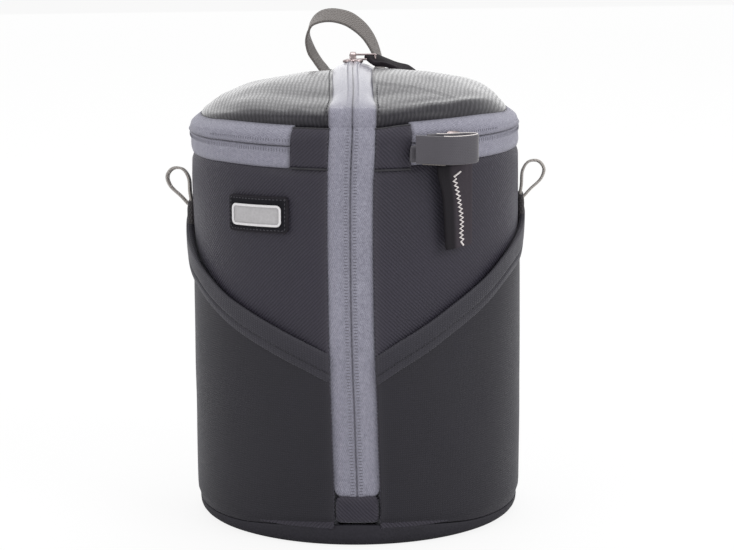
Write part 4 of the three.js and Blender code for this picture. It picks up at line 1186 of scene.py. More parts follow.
def pocket(side):
    def height(angle, share):
        low = flow(BASE_SEAM, angle) + 0.35
        return low + (hem_top(side, angle) - HEM_TALL + 1.6 - low) * share

    def place(angle, share, sink):
        z, full = height(angle, share), sin(pi * share)
        r = 66.15 + 0.25 * full + soft(angle / 16, z / 26, side + 9, 0.5) * full
        r -= 1.1 * (1 - ease(0, 0.045, share))
        r += 0.35 * hump(angle, FRONT_EDGE, 1.5)
        return at(side, angle, r - sink, z)

    angles = [FRONT_EDGE + 0.3 + a for a in FOLD_STEPS] + spread(FRONT_EDGE + 3.4, 92, 58)
    shares = [0, 0.01, 0.022, 0.036, 0.055] + spread(0.08, 1, 50)
    return panel(HALF[side] + "_pocket_cloth", angles, shares, place, 0.7,
                 lambda a, s: (radians(a) * 66, height(a, s)), roundness=0.6)


def hem_radius(side, angle, share):
    """The band's outer face: share 0 is its lower edge and 1 its upper one."""
    go = (angle - FRONT_EDGE) / (90 - FRONT_EDGE)
    r = 66.7 + 0.6 * ease(0.02, 0.25, go) + (HEM_END[side] - 67.3) * ease(0.55, 0.9, go)
    r -= 2.2 * ease(0.97, 1.1, go)
    r += 0.4 * sin(pi * share) ** 0.7 if 0 < share < 1 else 0
    r += 0.7 * share * share * ease(0, 0.1, go) - 0.42 * hump(share, HEM_SEAM, 0.05)
    return r + soft(angle / 9, share, side + 3, 0.15)


def hem(side):
    def place(angle, share, sink):
        z = hem_top(side, angle) - HEM_TALL * (1 - share)
        r = hem_radius(side, angle, share)
        if sink:
            r -= sink + max(0.0, r - sink - 65.9) * ease(62, 80, angle)
        return at(side, angle, r, z)

    shares = [0.02, 0.07, 0.13, 0.19, 0.23, 0.26, 0.28, 0.30, 0.32, 0.34, 0.37, 0.42] + spread(0.5, 0.98, 10)
    return panel(HALF[side] + "_hem_band", spread(FRONT_EDGE + 0.3, 97, 104), shares, place, 1.25,
                 lambda a, s: (radians(a) * 67, HEM_TALL * s), wear=0.9, strip=6)


def hem_stitches(side):
    def place(angle):
        z = hem_top(side, angle) - HEM_TALL * (1 - HEM_SEAM)
        return at(side, angle, hem_radius(side, angle, HEM_SEAM) + 0.05, z)

    line = radial([place(angle) for angle in spread(FRONT_EDGE + 0.6, 93, 120)])
    return beads(HALF[side] + "_hem_stitches", [line], (2.6, 2.0, 0.5, 0.34), DARK_THREAD)


for side, half in HALF.items():
    dress(pocket(side), POCKET_KNIT, "stretch", [half + "_pocket"], half=half,
          cloth={"flat": (0.097, 0.088), "area": 0.0082, "rests_on": [half + "_wall_cloth"]})
    dress(hem(side), HEM_KNIT, "hem", [half + "_pocket_hem"], half=half)
    dress(hem_stitches(side), None, "hem", half=half)
print("pockets, hems and their stitches are on")

# %% [markdown]
# ## The zip tapes
#
# A reverse coil zip shows its tape and hides its coil: each tape folds back over its coil
# and rises a little beside the slit. The front tapes run from the stop patch at the foot,
# up over the rim, and across the lid to the back. The top tapes run round the rim below and
# above their slit. All of them are one shape across, `tape_rise`, laid along other lines.

# %% Front tapes
TAPE_FOOT, TAPE_TOP, TAPE_HALF = 20.6, 150, 8.95
TAPE_THICK, TAPE_WEAR = 1.0, 0.8
ACROSS = [0.17, 0.35, 0.7, 1.2, 1.8, 2.3, 2.7, 3.1, 3.6, 4.6, 5.8, 7.0, 7.8, 8.4, TAPE_HALF]
RIM_LINE = [(149.0, 65.1), (153, 65.25), (158, 65.3), (161, 65.0), (163.1, 64.0), (165.2, 62.5)]
CREST_LINE = profile([(-62.45, 165.1), (-62.4, 166.6), (-61.7, 168.8), (-60.0, 170.9), (-57, 172.5), (-50, 174.4),
                      (-40, 176.5), (-25, 179.0), (-10, 180.6), (5, 181.3), (20, 180.8), (35, 178.7), (48, 175.5),
                      (56, 172.3), (60, 169.6), (61.9, 167.0), (62.4, 164.8)], 200)
CREST_LONG = CREST_LINE[1]
LADDER_AT = 1.7  # how far the short stitches lie from a slit
LADDER_SIZES, CREST_SIZES = (1.2, 0.3, 1.8, 0.26), (1.2, 0.3, 1.7, 0.14)


def tape_rise(x):
    """How far a tape stands off its line, x mm from the slit."""
    return 0.45 * (1 - ease(2.3, 3.6, x)) * ease(-0.1, 0.7, x) - 0.15 * ease(7.2, 8.9, x)


def by_slit(side, x, r, z):
    return at(side, degrees(asin(x / r)), r, z)


def front_place(side, x, z, sink=0.0):
    return by_slit(side, x, 64.95 + tape_rise(x) - sink, z)


def front_height(x, share):
    """The tape's height at a share of its length; its lower corner is cut round."""
    low = TAPE_FOOT - round_end(x, 8.9, 0, 3)
    return low + (TAPE_TOP - low) * share


def rim_place(side, x, z, sink=0.0):
    return by_slit(side, x, flow(RIM_LINE, z) - 0.15 + tape_rise(x) - sink, z)


def lid_tape_place(side, x, far, sink=0.0):
    """A place on the tape that crosses the lid, far mm along it from the front."""
    here, inward = along(CREST_LINE, far)
    front = ease(-60, -45, here.x)
    steep = 1 - ease(0, 9, 62.6 - abs(here.x))
    y = here.x * (1 - steep * (1 - sqrt(1 - (x / 62.5) ** 2)))
    arch = 2.5 * (x / 9) ** 2 * ease(-60, -38, here.x) * (1 - ease(38, 60, here.x))
    out = Vector((0, -inward.x, -inward.z)) * (tape_rise(x) - arch - sink)
    shift = -1.3 * ease(-52, 6, y)  # the lid's zip runs to the left of the middle
    return Vector((side * x * (1 - CREST_NARROW * front) + shift, y, here.z)) + out


def flat_strip(x, y):
    return x, y


def ladder(side, name, line, sizes=LADDER_SIZES, thread=LADDER_THREAD):
    """Short stitches across a line, given as (place, outward direction)."""
    return beads(HALF[side] + name, [line], sizes, thread)


for side, half in HALF.items():
    front = panel(half + "_front_zip_tape", ACROSS, [0, 0.004, 0.01, 0.02, 0.035] + spread(0.055, 1, 60),
                  lambda x, s, sink: front_place(side, x, front_height(x, s), sink), TAPE_THICK,
                  lambda x, s: (x, 20 + 130 * s), wear=TAPE_WEAR, roundness=0.5, butted="high")
    dress(front, ZIP_TAPE, "tape", [half + "_front_tape"], half=half)
    rim = panel(half + "_rim_zip_tape", ACROSS, spread(149.7, 165.4, 22),
                lambda x, z: rim_place(side, x, z, -0.03), lambda x, z: rim_place(side, x, z, TAPE_THICK),
                flat_strip, wear=TAPE_WEAR, roundness=0.3, butted="low high")
    dress(rim, ZIP_TAPE, "tape", hinge=half)
    fars = spread(-0.3, 16, 22)[:-1] + spread(16, CREST_LONG - 16, 52) + spread(CREST_LONG - 16, CREST_LONG, 18)[1:]
    crest = panel(half + "_crown_zip_tape", ACROSS, fars, lambda x, y, sink: lid_tape_place(side, x, y, sink),
                  TAPE_THICK, flat_strip, wear=TAPE_WEAR, roundness=0.5, butted="low")
    dress(crest, LID_TAPE, "tape", [half + "_lid_front_tape"], body=half + "_lid")

    line = radial([front_place(side, LADDER_AT, z) for z in spread(21.5, 149.8, 130)])
    dress(ladder(side, "_front_ladder", line), None, "tape", half=half)
    places = [rim_place(side, LADDER_AT, z) for z in spread(150.2, 165.2, 40)]
    line = [(p, Vector((p.x, p.y, max(0, p.z - 160) * 8))) for p in places]
    dress(ladder(side, "_rim_ladder", line), None, "tape", hinge=half)
    line = []
    for far in spread(0.5, CREST_LONG - 0.6, 130):
        p = lid_tape_place(side, LADDER_AT, far, 0.03)
        line.append((p, p - lid_tape_place(side, LADDER_AT, far, 1.0)))
    # the crest's ladder uses the paler thread, which is painted light
    dress(ladder(side, "_crown_ladder", line, CREST_SIZES, CREST_THREAD), None, "tape", body=half + "_lid")
print("front zip tapes run from z =", TAPE_FOOT, "over the lid")

# %% [markdown]
# The top tapes go round the rim from the hinge panel to the back. The lower one stands
# upright. The upper one is upright near the slit and then leans in under the lid's roll.
# Between the front tape and the top tapes lies a dark panel of wall twill, on which the lid
# folds. A dark cord runs along its foot and its head: painted shadow of the seam grooves there.

# %% Top tapes, coils and hinge panels
TOP_TAPE_START = {LEFT: 21.2, RIGHT: 20.4}
HINGE_END = {LEFT: 21.0, RIGHT: 20.2}
SLIT_Z, RING_R = 157.88, 65.6
LOWER_LINE = [(149.1, 65.05), (151, 65.5), (153.5, 65.6), (157.66, 65.6)]
LOWER_STEPS = [149.2, 149.5, 150, 151, 152.4, 153.6, 154.3, 154.8, 155.3, 155.8, 156.5, 157.1, 157.45, 157.66]
UPPER_LINE = profile([(65.6, 158.1), (65.4, 159.8), (64.4, 161.6), (62.6, 163.3), (60.9, 164.4)], 24)
UPPER_STEPS = [0, 0.2, 0.5, 1, 1.6, 2.1, 2.5, 2.9, 3.4, 4.2, 5.2, 6.2, 7.2, UPPER_LINE[1] - 0.9, UPPER_LINE[1]]
COIL_SIZES = (1.27, 0.86, 2.3, 1.6)


def lower_tape(name, side, first, last):
    def place(a, z, sink):
        return tipped(at(side, a, flow(LOWER_LINE, z) + tape_rise(SLIT_Z - z) - sink, z))

    return panel(name, spread(first, last, max(6, int((last - first) * 0.62))), LOWER_STEPS, place, TAPE_THICK,
                 lambda a, z: (z, radians(a) * RING_R), wear=TAPE_WEAR, roundness=0.4)


def upper_tape(side):
    def place(a, s, sink):
        here, normal = along(UPPER_LINE, s)
        here = here + normal * (sink - tape_rise(s + 0.22))
        return tipped(at(side, a, here.x, here.z))

    return panel(HALF[side] + "_upper_zip_tape", spread(TOP_TAPE_START[side], 179.7, 100), UPPER_STEPS, place,
                 TAPE_THICK, lambda a, s: (s, radians(a) * RING_R), wear=TAPE_WEAR, roundness=0.4)


def on_hinge(side, a, r, z):
    """A place on the hinge panel: tipped like the rim at its head, and level at its foot."""
    p = at(side, a, r, z)
    drop = 0.4 * (1 - ease(150, 156, z)) if side == RIGHT else 0
    return p + Vector((0, 0, flow(RIM_TIP, p.x) * ease(150, 158, z) - drop))


def hinge_panel(side):
    def place(a, z, sink):
        r = flow(RIM_LINE, z) + 0.25 - 0.5 * hump(z, 149.2, 0.9) + 0.25 * hump(z, 161, 2.6)
        return on_hinge(side, a, r + soft(a / 5, z / 6, side + 2, 0.2) - sink, z)

    return panel(HALF[side] + "_rim_hinge", spread(FRONT_EDGE + 0.4, HINGE_END[side], 14), spread(149.4, 164.2, 26),
                 place, TAPE_THICK, unrolled(65.3), wear=0.7, roundness=0.6)


# painted shadow: a dark cord that stands for the shaded groove of a seam
def hinge_seam(side, name, z, out):
    angles = spread(FRONT_EDGE, TOP_TAPE_START[side], 16)
    return cord(HALF[side] + name, [on_hinge(side, a, flow(RIM_LINE, z) + out, z) for a in angles], 0.42)


def ring_line(side, first, last, r, z):
    return radial([tipped(at(side, a, r, z)) for a in spread(first, last, max(4, int(last - first)))])


def teeth(name, line, node, **rides):
    dress(beads(name, [line], COIL_SIZES, COIL_NYLON), None, "coil", [node], **rides)


for side, half in HALF.items():
    on_half, on_lid_body = {"body": half + "_half"}, {"body": half + "_lid"}
    dress(lower_tape(half + "_lower_zip_tape", side, TOP_TAPE_START[side], HINGE_ANGLE - 0.1), ZIP_TAPE, "tape",
          [half + "_zip_tape"], **on_half)
    dress(upper_tape(side), ZIP_TAPE, "tape", [half + "_lid_zip_tape"], **on_lid_body)
    # the dark cords at the hinge panel's foot and head are painted shadow
    for name, z, out in (("_hinge_seam_low", 149.3, 0.3), ("_hinge_seam_high", 164.5, 0.0)):
        dress(hinge_seam(side, name, z, out), DARK_THREAD, "twill", hinge=half)
    dress(hinge_panel(side), WALL_TWILL, "twill", [half + "_hinge_panel", half + "_lid_hinge_panel"], hinge=half)
    low = ring_line(side, 21.6, 155.5, 66.03, SLIT_Z - LADDER_AT)
    dress(ladder(side, "_lower_ladder", low), None, "tape", **on_half)
    high = ring_line(side, 21.6, 58, 65.95, SLIT_Z + LADDER_AT)
    dress(ladder(side, "_upper_ladder", high), None, "tape", **on_lid_body)
    line = radial([at(side, 1.28, 62.75, z) for z in spread(20.6, 157.2, 60)])
    teeth(half + "_front_teeth", line, half + "_front_coil", half=half)
    teeth(half + "_lower_teeth", ring_line(side, 20.6, 155.6, 63.3, 156.25), half + "_zip_coil", **on_half)
    teeth(half + "_upper_teeth", ring_line(side, 20.6, 179.4, 63.3, 159.5), half + "_lid_zip_coil", **on_lid_body)
dress(lower_tape("back_lower_zip_tape", RIGHT, 156.1, 203.9), ZIP_TAPE, "tape", ["back_zip_tape"], body="back")
teeth("back_teeth", ring_line(RIGHT, 156.3, 203.7, 63.3, 156.25), "back_zip_coil", body="back")
print("top tapes, coils and hinge panels are on")

# %% [markdown]
# ## The padding
#
# Behind the twill lies foam with a brushed knit lining glued to it. Nobody has seen the
# inside of this pouch, so it is plain and generic. Each pad is one crowned closed form with
# soft edges, a little fuller between its seams, and it stands for both foam and lining.

# %% Wall and back padding
PAD_FOOT, PAD_HEAD, PAD_WEAR = 7.9, 155.4, 0.1
BACK_FIRST, BACK_LAST = 156.4, 203.6


def wall_pad(name, side, first, last):
    def inner(a, z):
        go = (a - first) / (last - first)
        puff = 0.9 * min(1, 4 * go, 4 * (1 - go)) * min(1, (z - PAD_FOOT) / 12, (PAD_HEAD - z) / 12)
        return tipped(at(side, a, 56.4 - puff + soft(a / 14, z / 20, side + 12, 0.4), z))

    def outer(a, z):
        return tipped(at(side, a, 63.5 - 1.5 * ease(148, 154, z), z))

    return panel(name, spread(first, last, max(14, int((last - first) * 0.5))), spread(PAD_FOOT, PAD_HEAD, 60),
                 outer, inner, unrolled(60), roundness=0.7, strip=8, wear=PAD_WEAR)


def back_face(a, z, sink):
    return tipped(at(RIGHT, a, belly(z, 65.2, 0.3) - sink + soft(a / 19, z / 24, 4, 0.25), z))


for side, half in HALF.items():
    dress(wall_pad(half + "_wall_padding", side, 8.6, HINGE_ANGLE - 0.4), LINING_KNIT, "foam",
          [half + "_foam", half + "_lining"], half=half, pad=0.75)
dress(wall_pad("back_padding", RIGHT, BACK_FIRST, BACK_LAST), LINING_KNIT, "foam", ["back_foam", "back_lining"],
      body="back", pad=0.75)
back_cloth = panel("back_wall_cloth", spread(BACK_FIRST - 0.1, BACK_LAST + 0.1, 34),
                   spread(WALL_FOOT + 0.3, SEAM_TOP - 0.4, 74), back_face, TWILL_THICK, unrolled(65.3))
dress(back_cloth, WALL_TWILL, "twill", ["back_cloth"], body="back",
      cloth={"flat": (0.054, 0.141), "rests_on": ["back_padding"]})
print("wall and back are padded")

# %% [markdown]
# The lid's padding is a cap with a short skirt. It uses the lid's half disc again, with one
# profile for its upper face and one for its lining, so the two faces meet in a soft rim.

# %% Lid padding
PAD_TOP = profile([(61.4, 158.6), (61.2, 160.2), (60.0, 162.2), (57.6, 164.0), (52, 166.3), (45, 168.8),
                   (30, 172.9), (15, 175.1), (0, 175.8)], 120)
PAD_UNDER = profile([(57.0, 158.6), (56.6, 159.7), (55.0, 161.0), (51, 162.5), (45, 164.2), (30, 167.4),
                     (15, 169.2), (0, 169.8)], 120)
PAD_CUT = 1.2


def lid_padding(side):
    scale = PAD_UNDER[1] / PAD_TOP[1]

    def back(x, y):
        p = on_lid(side, PAD_CUT + (x - PAD_CUT) * scale, y * scale, PAD_UNDER)
        p.z += soft(x / 14, y / 14, side + 20, 0.4)
        return p

    return half_disc(side, HALF[side] + "_lid_padding", PAD_CUT, lambda x, y: on_lid(side, x, y, PAD_TOP), back,
                     PAD_TOP[1], columns=64, rows=26, wear=PAD_WEAR)


for side, half in HALF.items():
    dress(lid_padding(side), LINING_KNIT, "foam", [half + "_lid_foam", half + "_lid_lining"],
          body=half + "_lid", pad=0.75)
print("lid padding is in")

# %% [markdown]
# ## The base
#
# The base is a shallow cup of coated cloth over a stiff disc, with a rounded corner at the
# floor. Its upper seam isn't level: it rises to a low peak under the zip and drops at both
# sides of it. The cup's rings are drawn one over the other from the middle of the underside
# to the rim, and back down inside. A padded disc lies in it.

# %% Base cup and base pad
CORNER = 4.2  # the radius of the cup's corner at the floor


def rings(name, rows, columns, place):
    """A closed turned shape: rows go from pole to pole, place(angle in degrees, row)."""
    points = [Vector(place(0, rows[0])), Vector(place(0, rows[-1]))]
    points += [Vector(place(360 * i / columns, row)) for row in rows[1:-1] for i in range(columns)]

    def index(row, i):
        return 2 + (row - 1) * columns + i % columns

    faces = []
    for i in range(columns):
        faces.append([0, index(1, i + 1), index(1, i)])
        for row in range(1, len(rows) - 2):
            faces.append([index(row, i), index(row, i + 1), index(row + 1, i + 1), index(row + 1, i)])
        faces.append([1, index(len(rows) - 2, i), index(len(rows) - 2, i + 1)])
    return finish_mesh(name, points, faces, [(p.x, p.y) for p in points], [0.0] * len(points))


def seam_height(angle):
    return flow(BASE_SEAM, abs((angle + 180) % 360 - 180))


CUP_ROWS = [(0, 0, 0)] + [(r, 0, 0) for r in (15, 30, 45, 56, 60.2)]
CUP_ROWS += [(60.9 + CORNER * sin(radians(t)), CORNER * (1 - cos(radians(t))), 0) for t in range(0, 91, 15)]
CUP_ROWS += [(65.15, 4.4, 0.35), (65.1, 4.6, 0.75), (64.9, 4.7, 0.95), (64.3, 4.8, 1.0), (63.6, 4.7, 0.9)]
CUP_ROWS += [(62.6, 4.4, 0), (61, 2.0, 0), (30, 1.9, 0), (0, 1.9, 0)]


def cup_place(angle, row):
    r, z, share = row
    rim = seam_height(angle) - 0.1
    if share:
        z = CORNER + (rim - CORNER) * share
    elif r > 61 and z < 4.3:
        z = z * min(1, (rim - 0.4) / CORNER)
    t = radians(angle)
    return (r * sin(t), -r * cos(t), z)


dress(rings("base_shell", CUP_ROWS, 160, cup_place), BASE_RUBBER, "twill", ["base_cup"], body="back")

PAD_ROWS = [(0, 2.0), (40, 2.0), (58.5, 2.1), (60, 3.2), (60.2, 5.0), (59.4, 6.5), (57.4, 7.0), (56.2, 7.15),
            (54.5, 7.9), (48, 8.3), (30, 8.6), (0, 8.7)]
base_pad = rings("base_padding", PAD_ROWS, 96,
                 lambda a, row: (row[0] * sin(radians(a)), -row[0] * cos(radians(a)), row[1]))
dress(base_pad, LINING_KNIT, "foam", ["base_foam", "base_lining"], body="back", pad=0.8)
print("the base seam is", seam_height(0), "mm up at the front and", round(seam_height(48), 1), "at the side")

# %% [markdown]
# The front zip ends in a patch of doubled twill, folded and sewn over the ends of both tapes.

# %% Zip stop patch
def stop_patch():
    def face(x, s):
        r = 65.45 + 0.35 * (1 - abs(s) ** 3)
        return by_slit(RIGHT, x, r, 15.4 + round_end(x, 8.3, 5.0, 2.0) * s)

    def back(x, s):
        return by_slit(RIGHT, x * 0.96, 56.2, 14 + 6 * s)

    xs = both_ends(8.25, (0, 0.25, 0.65, 1.15, 1.85), 5.6, 14)
    return panel("zip_stop_patch", xs, spread(-1, 1, 14), face, back, lambda x, s: (x, 15 + 5 * s), roundness=0.1)


dress(stop_patch(), WALL_TWILL, "twill", ["front_zip_stop"], body="back")
print("the zip's end is covered")

# %% [markdown]
# ## The label patch
#
# High on the left half is a moulded patch with round corners and a raised, paler frame. Its
# field stays bare. The patch follows the wall's curve, and sinks a little at its left end.
# A row of stitches runs round it, near its edge.

# %% Label patch and frame
PATCH_R, FRAME_R = 66.8, 67.2
LABEL_MIDDLE, FRAME_MIDDLE = 33.5, 33.8
PATCH_HALF, PATCH_TALL = radians(12.2) * PATCH_R, 6.95


def label_height(angle):
    return 131.0 - 1.1 * (angle - 22.5) / 25.1


def frame_place(x, z, r):
    """A place in the frame, x mm to the left of its middle and z mm up."""
    a = FRAME_MIDDLE + degrees(x / FRAME_R)
    return at(LEFT, a, r, label_height(a) - 0.4 + z)


def label_patch():
    def place(x, s, r):
        a = LABEL_MIDDLE + degrees(x / PATCH_R)
        return at(LEFT, a, r, label_height(a) + round_end(x, PATCH_HALF, PATCH_TALL, 1.5) * s)

    def face(x, s):
        rim = max(abs(s) * PATCH_TALL - (PATCH_TALL - 1.6), abs(x) - (PATCH_HALF - 1.6))
        return place(x, s, 67.05 - 0.3 * (1 - ease(-0.4, 0.5, rim)))

    xs = both_ends(PATCH_HALF, (0, 0.15, 0.35, 0.6, 0.9, 1.2, 1.5, 1.8, 2.2, 2.7), PATCH_HALF - 3.4, 26)
    ss = both_ends(1, (0, 0.03, 0.07, 0.12, 0.17, 0.22, 0.28), 0.6, 9)
    return panel("label_field", xs, ss, face, lambda x, s: place(x, s, 65.4),
                 lambda x, s: (x, PATCH_TALL * s), roundness=0.25, wear=0.8)


def label_ring():
    half, tall, corner = radians(9.9) * FRAME_R, 3.75, 1.6
    corners = []
    for way_x, way_z, start in ((1, 1, 0), (-1, 1, 90), (-1, -1, 180), (1, -1, 270)):
        for k in range(7):
            t = radians(start + 15 * k)
            corners.append((way_x * (half - corner) + corner * cos(t), way_z * (tall - corner) + corner * sin(t)))
    loop = []
    for (x0, z0), (x1, z1) in zip(corners, corners[1:] + corners[:1]):
        steps = max(1, int(hypot(x1 - x0, z1 - z0) / 1.5))
        loop += [(x0 + (x1 - x0) * k / steps, z0 + (z1 - z0) * k / steps) for k in range(steps)]
    path, across = [], []
    for k, (x, z) in enumerate(loop):
        p = frame_place(-x, z, FRAME_R)
        (x0, z0), (x1, z1) = loop[k - 1], loop[(k + 1) % len(loop)]
        level = Vector((0, 0, 1)).cross(Vector((p.x, p.y, 0)).normalized())
        path.append(p)
        across.append(level * (z0 - z1) + Vector((0, 0, x1 - x0)))
    return ribbon("label_edge", path, across, section(1.0, 0.62), ring=True)


def label_plate():
    half, tall = radians(9.5) * FRAME_R, 3.4
    return panel("label_plate", spread(-half, half, 24), spread(-1, 1, 9),
                 lambda x, s: frame_place(x, tall * s, 67.05), lambda x, s: frame_place(x, tall * s, 66.5),
                 lambda x, s: (x, tall * s), wear=0.5)


def rectangle(x, z0, z1, steps):
    """Places round a rectangle, from its corner at (-x, z0) along z0 and back to it."""
    corners = [(-x, z0), (x, z0), (x, z1), (-x, z1), (-x, z0)]
    line = []
    for (x0, za), (x1, zb) in zip(corners, corners[1:]):
        line += [(x0 + (x1 - x0) * k / steps, za + (zb - za) * k / steps) for k in range(steps)]
    return line + line[:1]


dress(label_patch(), LABEL_RUBBER, "rubber", ["label_patch"], body="left_half")
dress(label_ring(), FRAME_RUBBER, "frame", ["label_frame"], body="left_half")
dress(label_plate(), PLATE_RUBBER, "frame", body="left_half")
border = []
for x, z in rectangle(PATCH_HALF - 1.0, 6.0, -6.0, 30):
    a = LABEL_MIDDLE + degrees(x / PATCH_R)
    border.append(at(LEFT, a, 67.08, label_height(a) + z))
dress(beads("label_stitches", [radial(border)], (1.6, 1.1, 0.4, 0.3), LABEL_THREAD), None, "rubber",
      body="left_half")
print("the label is", round(2 * PATCH_HALF, 1), "mm long and bare")

# %% [markdown]
# ## Loops of tape
#
# Each side has a small standing loop of webbing for a strap hook, sewn under the hem's end.
# Each is bent from one piece of tape, so a path of nine places and a flat section make it.
# The zip's own end tab, at the right of the front, is a wider tape folded on itself.

# %% Side loops and the zip's end loop
LOOP_SHAPE = [(0, 0.055), (0.25, 0.13), (0.6, 0.26), (0.88, 0.22), (1, 0), (0.88, -0.22), (0.6, -0.26),
              (0.25, -0.13), (0, -0.055)]
LOOP_LONG, LOOP_LEAN = 15.5, radians(25)
LOOP_ROOT = {LEFT: 125.9, RIGHT: 128.6}
LOOP_REACH = {LEFT: 67.8, RIGHT: 66.9}
TAIL_R = {LEFT: 68.7, RIGHT: 67.9}
END_SHAPE = [(0.30, 0.02), (0.42, 0.05), (0.56, 0.2), (0.74, 0.3), (0.87, 0.42), (0.95, 0.66), (0.88, 0.9),
             (0.72, 0.98), (0.54, 0.93), (0.4, 0.74), (0.3, 0.5), (0.22, 0.33), (0.16, 0.22), (0.1, 0.13)]


def side_loop(side, root):
    path = []
    for a, c in LOOP_SHAPE:
        a, c = a * LOOP_LONG, c * LOOP_LONG
        reach = LOOP_REACH[side] + a * sin(LOOP_LEAN) + c * cos(LOOP_LEAN)
        path.append((side * reach, 0, root + a * cos(LOOP_LEAN) - c * sin(LOOP_LEAN)))
    return ribbon(HALF[side] + "_hook_loop", even(path, 60), (0, 0.985, -0.172), section(8.6, 1.0))


def loop_tail(side, root):
    """The sewn foot of a side loop, which goes down between the wall and the hem's end."""
    return panel(HALF[side] + "_loop_tail", spread(86.2, 93.8, 8), spread(root - 12, root + 0.9, 12),
                 lambda a, z: at(side, a, TAIL_R[side] - 0.4 * ease(-2, 1, z - root), z),
                 lambda a, z: at(side, a, 65.7, z), unrolled(67), roundness=0.5)


def end_place(a, out):
    turn, r = radians(18 + a * 21), 69.05 + out * 11.3
    return (r * sin(turn), -r * cos(turn), 157.1)


for side, root in LOOP_ROOT.items():
    name = HALF[side] + "_side_loop"
    dress(side_loop(side, root), LOOP_WEBBING, "webbing", [name], body=name)
for side, root in LOOP_ROOT.items():
    # the loop's foot takes the dark webbing, which is painted shade
    dress(loop_tail(side, root), TAIL_WEBBING, "webbing", half=HALF[side])

end_path = even([end_place(*stop) for stop in END_SHAPE], 80)
end_loop = ribbon("zip_end_tab", end_path, (0, 0, 1), section(10.9, 1.1))
dress(end_loop, END_TAPE, "strap", ["zip_end_loop"], body="zip_end_loop")
# the pale cord along the tab's top edge is a painted highlight of its rim
for name, z, first, last, radius, thread in (("edge", 5.4, 6, 62, 0.22, PALE_THREAD),
                                             ("fray", -5.5, 60, 76, 0.3, CARRY_WEBBING)):
    line = [p + Vector((0, 0, z)) for p in end_path[first:last]]
    dress(cord("zip_end_tab_" + name, line, radius), thread, "strap", body="zip_end_loop")
end_foot = panel("zip_end_foot", spread(20.0, 23.8, 8), spread(152.4, 157.3, 8),
                 lambda a, z: at(RIGHT, a, 67.9, z), lambda a, z: at(RIGHT, a, 66.1, z), unrolled(67))
dress(end_foot, END_TAPE, "strap", ["zip_end_patch"], body="right_half")
print("three loops are on")

# %% [markdown]
# ## The carry handle
#
# One length of webbing is sewn flat to the back of the pouch by both ends, and stands up in
# a tall leaning loop. Webbing can't bend across its width, so it turns a quarter of a turn
# near each foot before it can arch over. The same turn is what makes the loop look slim at
# its feet and wide at its top in the photograph.

# %% Twisted webbing handle
HANDLE_LINE = [
    (-10.5, 149.6, -90), (-10.5, 155.5, -78), (-11.4, 162.5, -46), (-13.2, 167.8, -23), (-15.2, 171.4, -17),
    (-17.15, 174.0, -15), (-18.9, 176.6, -15), (-20.5, 179.2, -16.5), (-21.5, 181.8, -14), (-22.15, 184.4, -9),
    (-22.2, 186.9, -2.5), (-21.7, 188.9, 0.5), (-20.7, 191.2, 5), (-18.7, 193.1, 16), (-15.9, 194.5, 25),
    (-12.4, 195.0, 29), (-8.5, 194.5, 31), (-4.8, 193.3, 32.5), (-1.8, 191.4, 31.3), (0.9, 189.15, 29),
    (3.2, 186.5, 25.7), (4.95, 183.7, 22.8), (6.3, 180.9, 19.6), (7.4, 177.7, 17), (8.6, 172, 20),
    (9.6, 165.5, 40), (10.3, 157, 78), (10.5, 149.6, 90),
]  # x, height and twist in degrees
ANCHOR_CORNER = 1.5

handle_line = even([(x, twist * 0.1, z) for x, z, twist in HANDLE_LINE], 170)
last = len(handle_line) - 1
handle_path, handle_across = [], []
for k, p in enumerate(handle_line):
    stands = ease(0, 0.18, k / last) * (1 - ease(0.82, 1, k / last))
    way = handle_line[min(k + 1, last)] - handle_line[max(k - 1, 0)]
    twist = radians(p.y * 10)
    aside = Vector((0, 1, 0)).cross(Vector((way.x, 0, way.z)).normalized())
    handle_path.append(Vector((p.x, 66.8 + 5.7 * stands, p.z)))
    handle_across.append(Vector((0, 1, 0)) * cos(twist) - aside * sin(twist))
handle = ribbon("carry_loop", handle_path, handle_across, section(9.9, 1.0))
dress(handle, CARRY_WEBBING, "webbing", ["carry_handle"], body="carry_handle")


def block(name, x, z0, z1, front, back, corner=ANCHOR_CORNER):
    """A sewn flat block on the back wall: front and back are functions of (x, z) that give y."""
    tall = (z1 - z0) / 2

    def place(u, s, y_of):
        z = (z0 + z1) / 2 + round_end(u, x, tall, corner) * s
        return (u, y_of(u, z), z)

    us = both_ends(x, [c * corner for c in (0, 0.08, 0.2, 0.4, 0.65, 0.9)], x - corner * 1.2, max(10, int(x)))
    ss = both_ends(1, [c / tall for c in (0, 0.5, 1.2, 2)], 1 - 3 / tall, max(6, int(tall)))
    return panel(name, us, ss, lambda u, s: place(u, s, front), lambda u, s: place(u, s, back),
                 lambda u, s: (u, tall * s), roundness=0.5, wear=1.2, strip=6)


def on_wall(x, z):
    return sqrt(65.85**2 - x * x)


anchor = block("handle_foot", 16.4, 135.6, 148.9, lambda x, z: 68.15, on_wall)
dress(anchor, BELT_WEBBING, "strap", ["handle_anchor"], body="back")
print("the handle stands", round(max(p.z for p in handle_path), 1), "mm high")

# %% [markdown]
# ## The belt pad and its strap
#
# The back of the pouch lies against a belt, so it carries a padded panel and a wide strap
# that is sewn down at its top and tucks behind the belt. The pad's face swells between its
# stitched border, and the strap has a stitched box at its anchor.

# %% Belt pad, anchor and strap
STRAP_SHAPE = [(0, 0), (0.02, 0), (0.05, 0.25), (0.1, 0.8), (0.17, 1), (0.24, 1), (0.48, 1), (0.7, 1), (0.77, 1),
               (0.84, 0.8), (0.91, 0.2), (0.95, 0), (1, 0)]
BOX_SIZES = (2.4, 1.8, 0.5, 0.35)
BOX_X, BOX_LOW, BOX_HIGH, BOX_Y = 14.2, 137.5, 147, 68.2


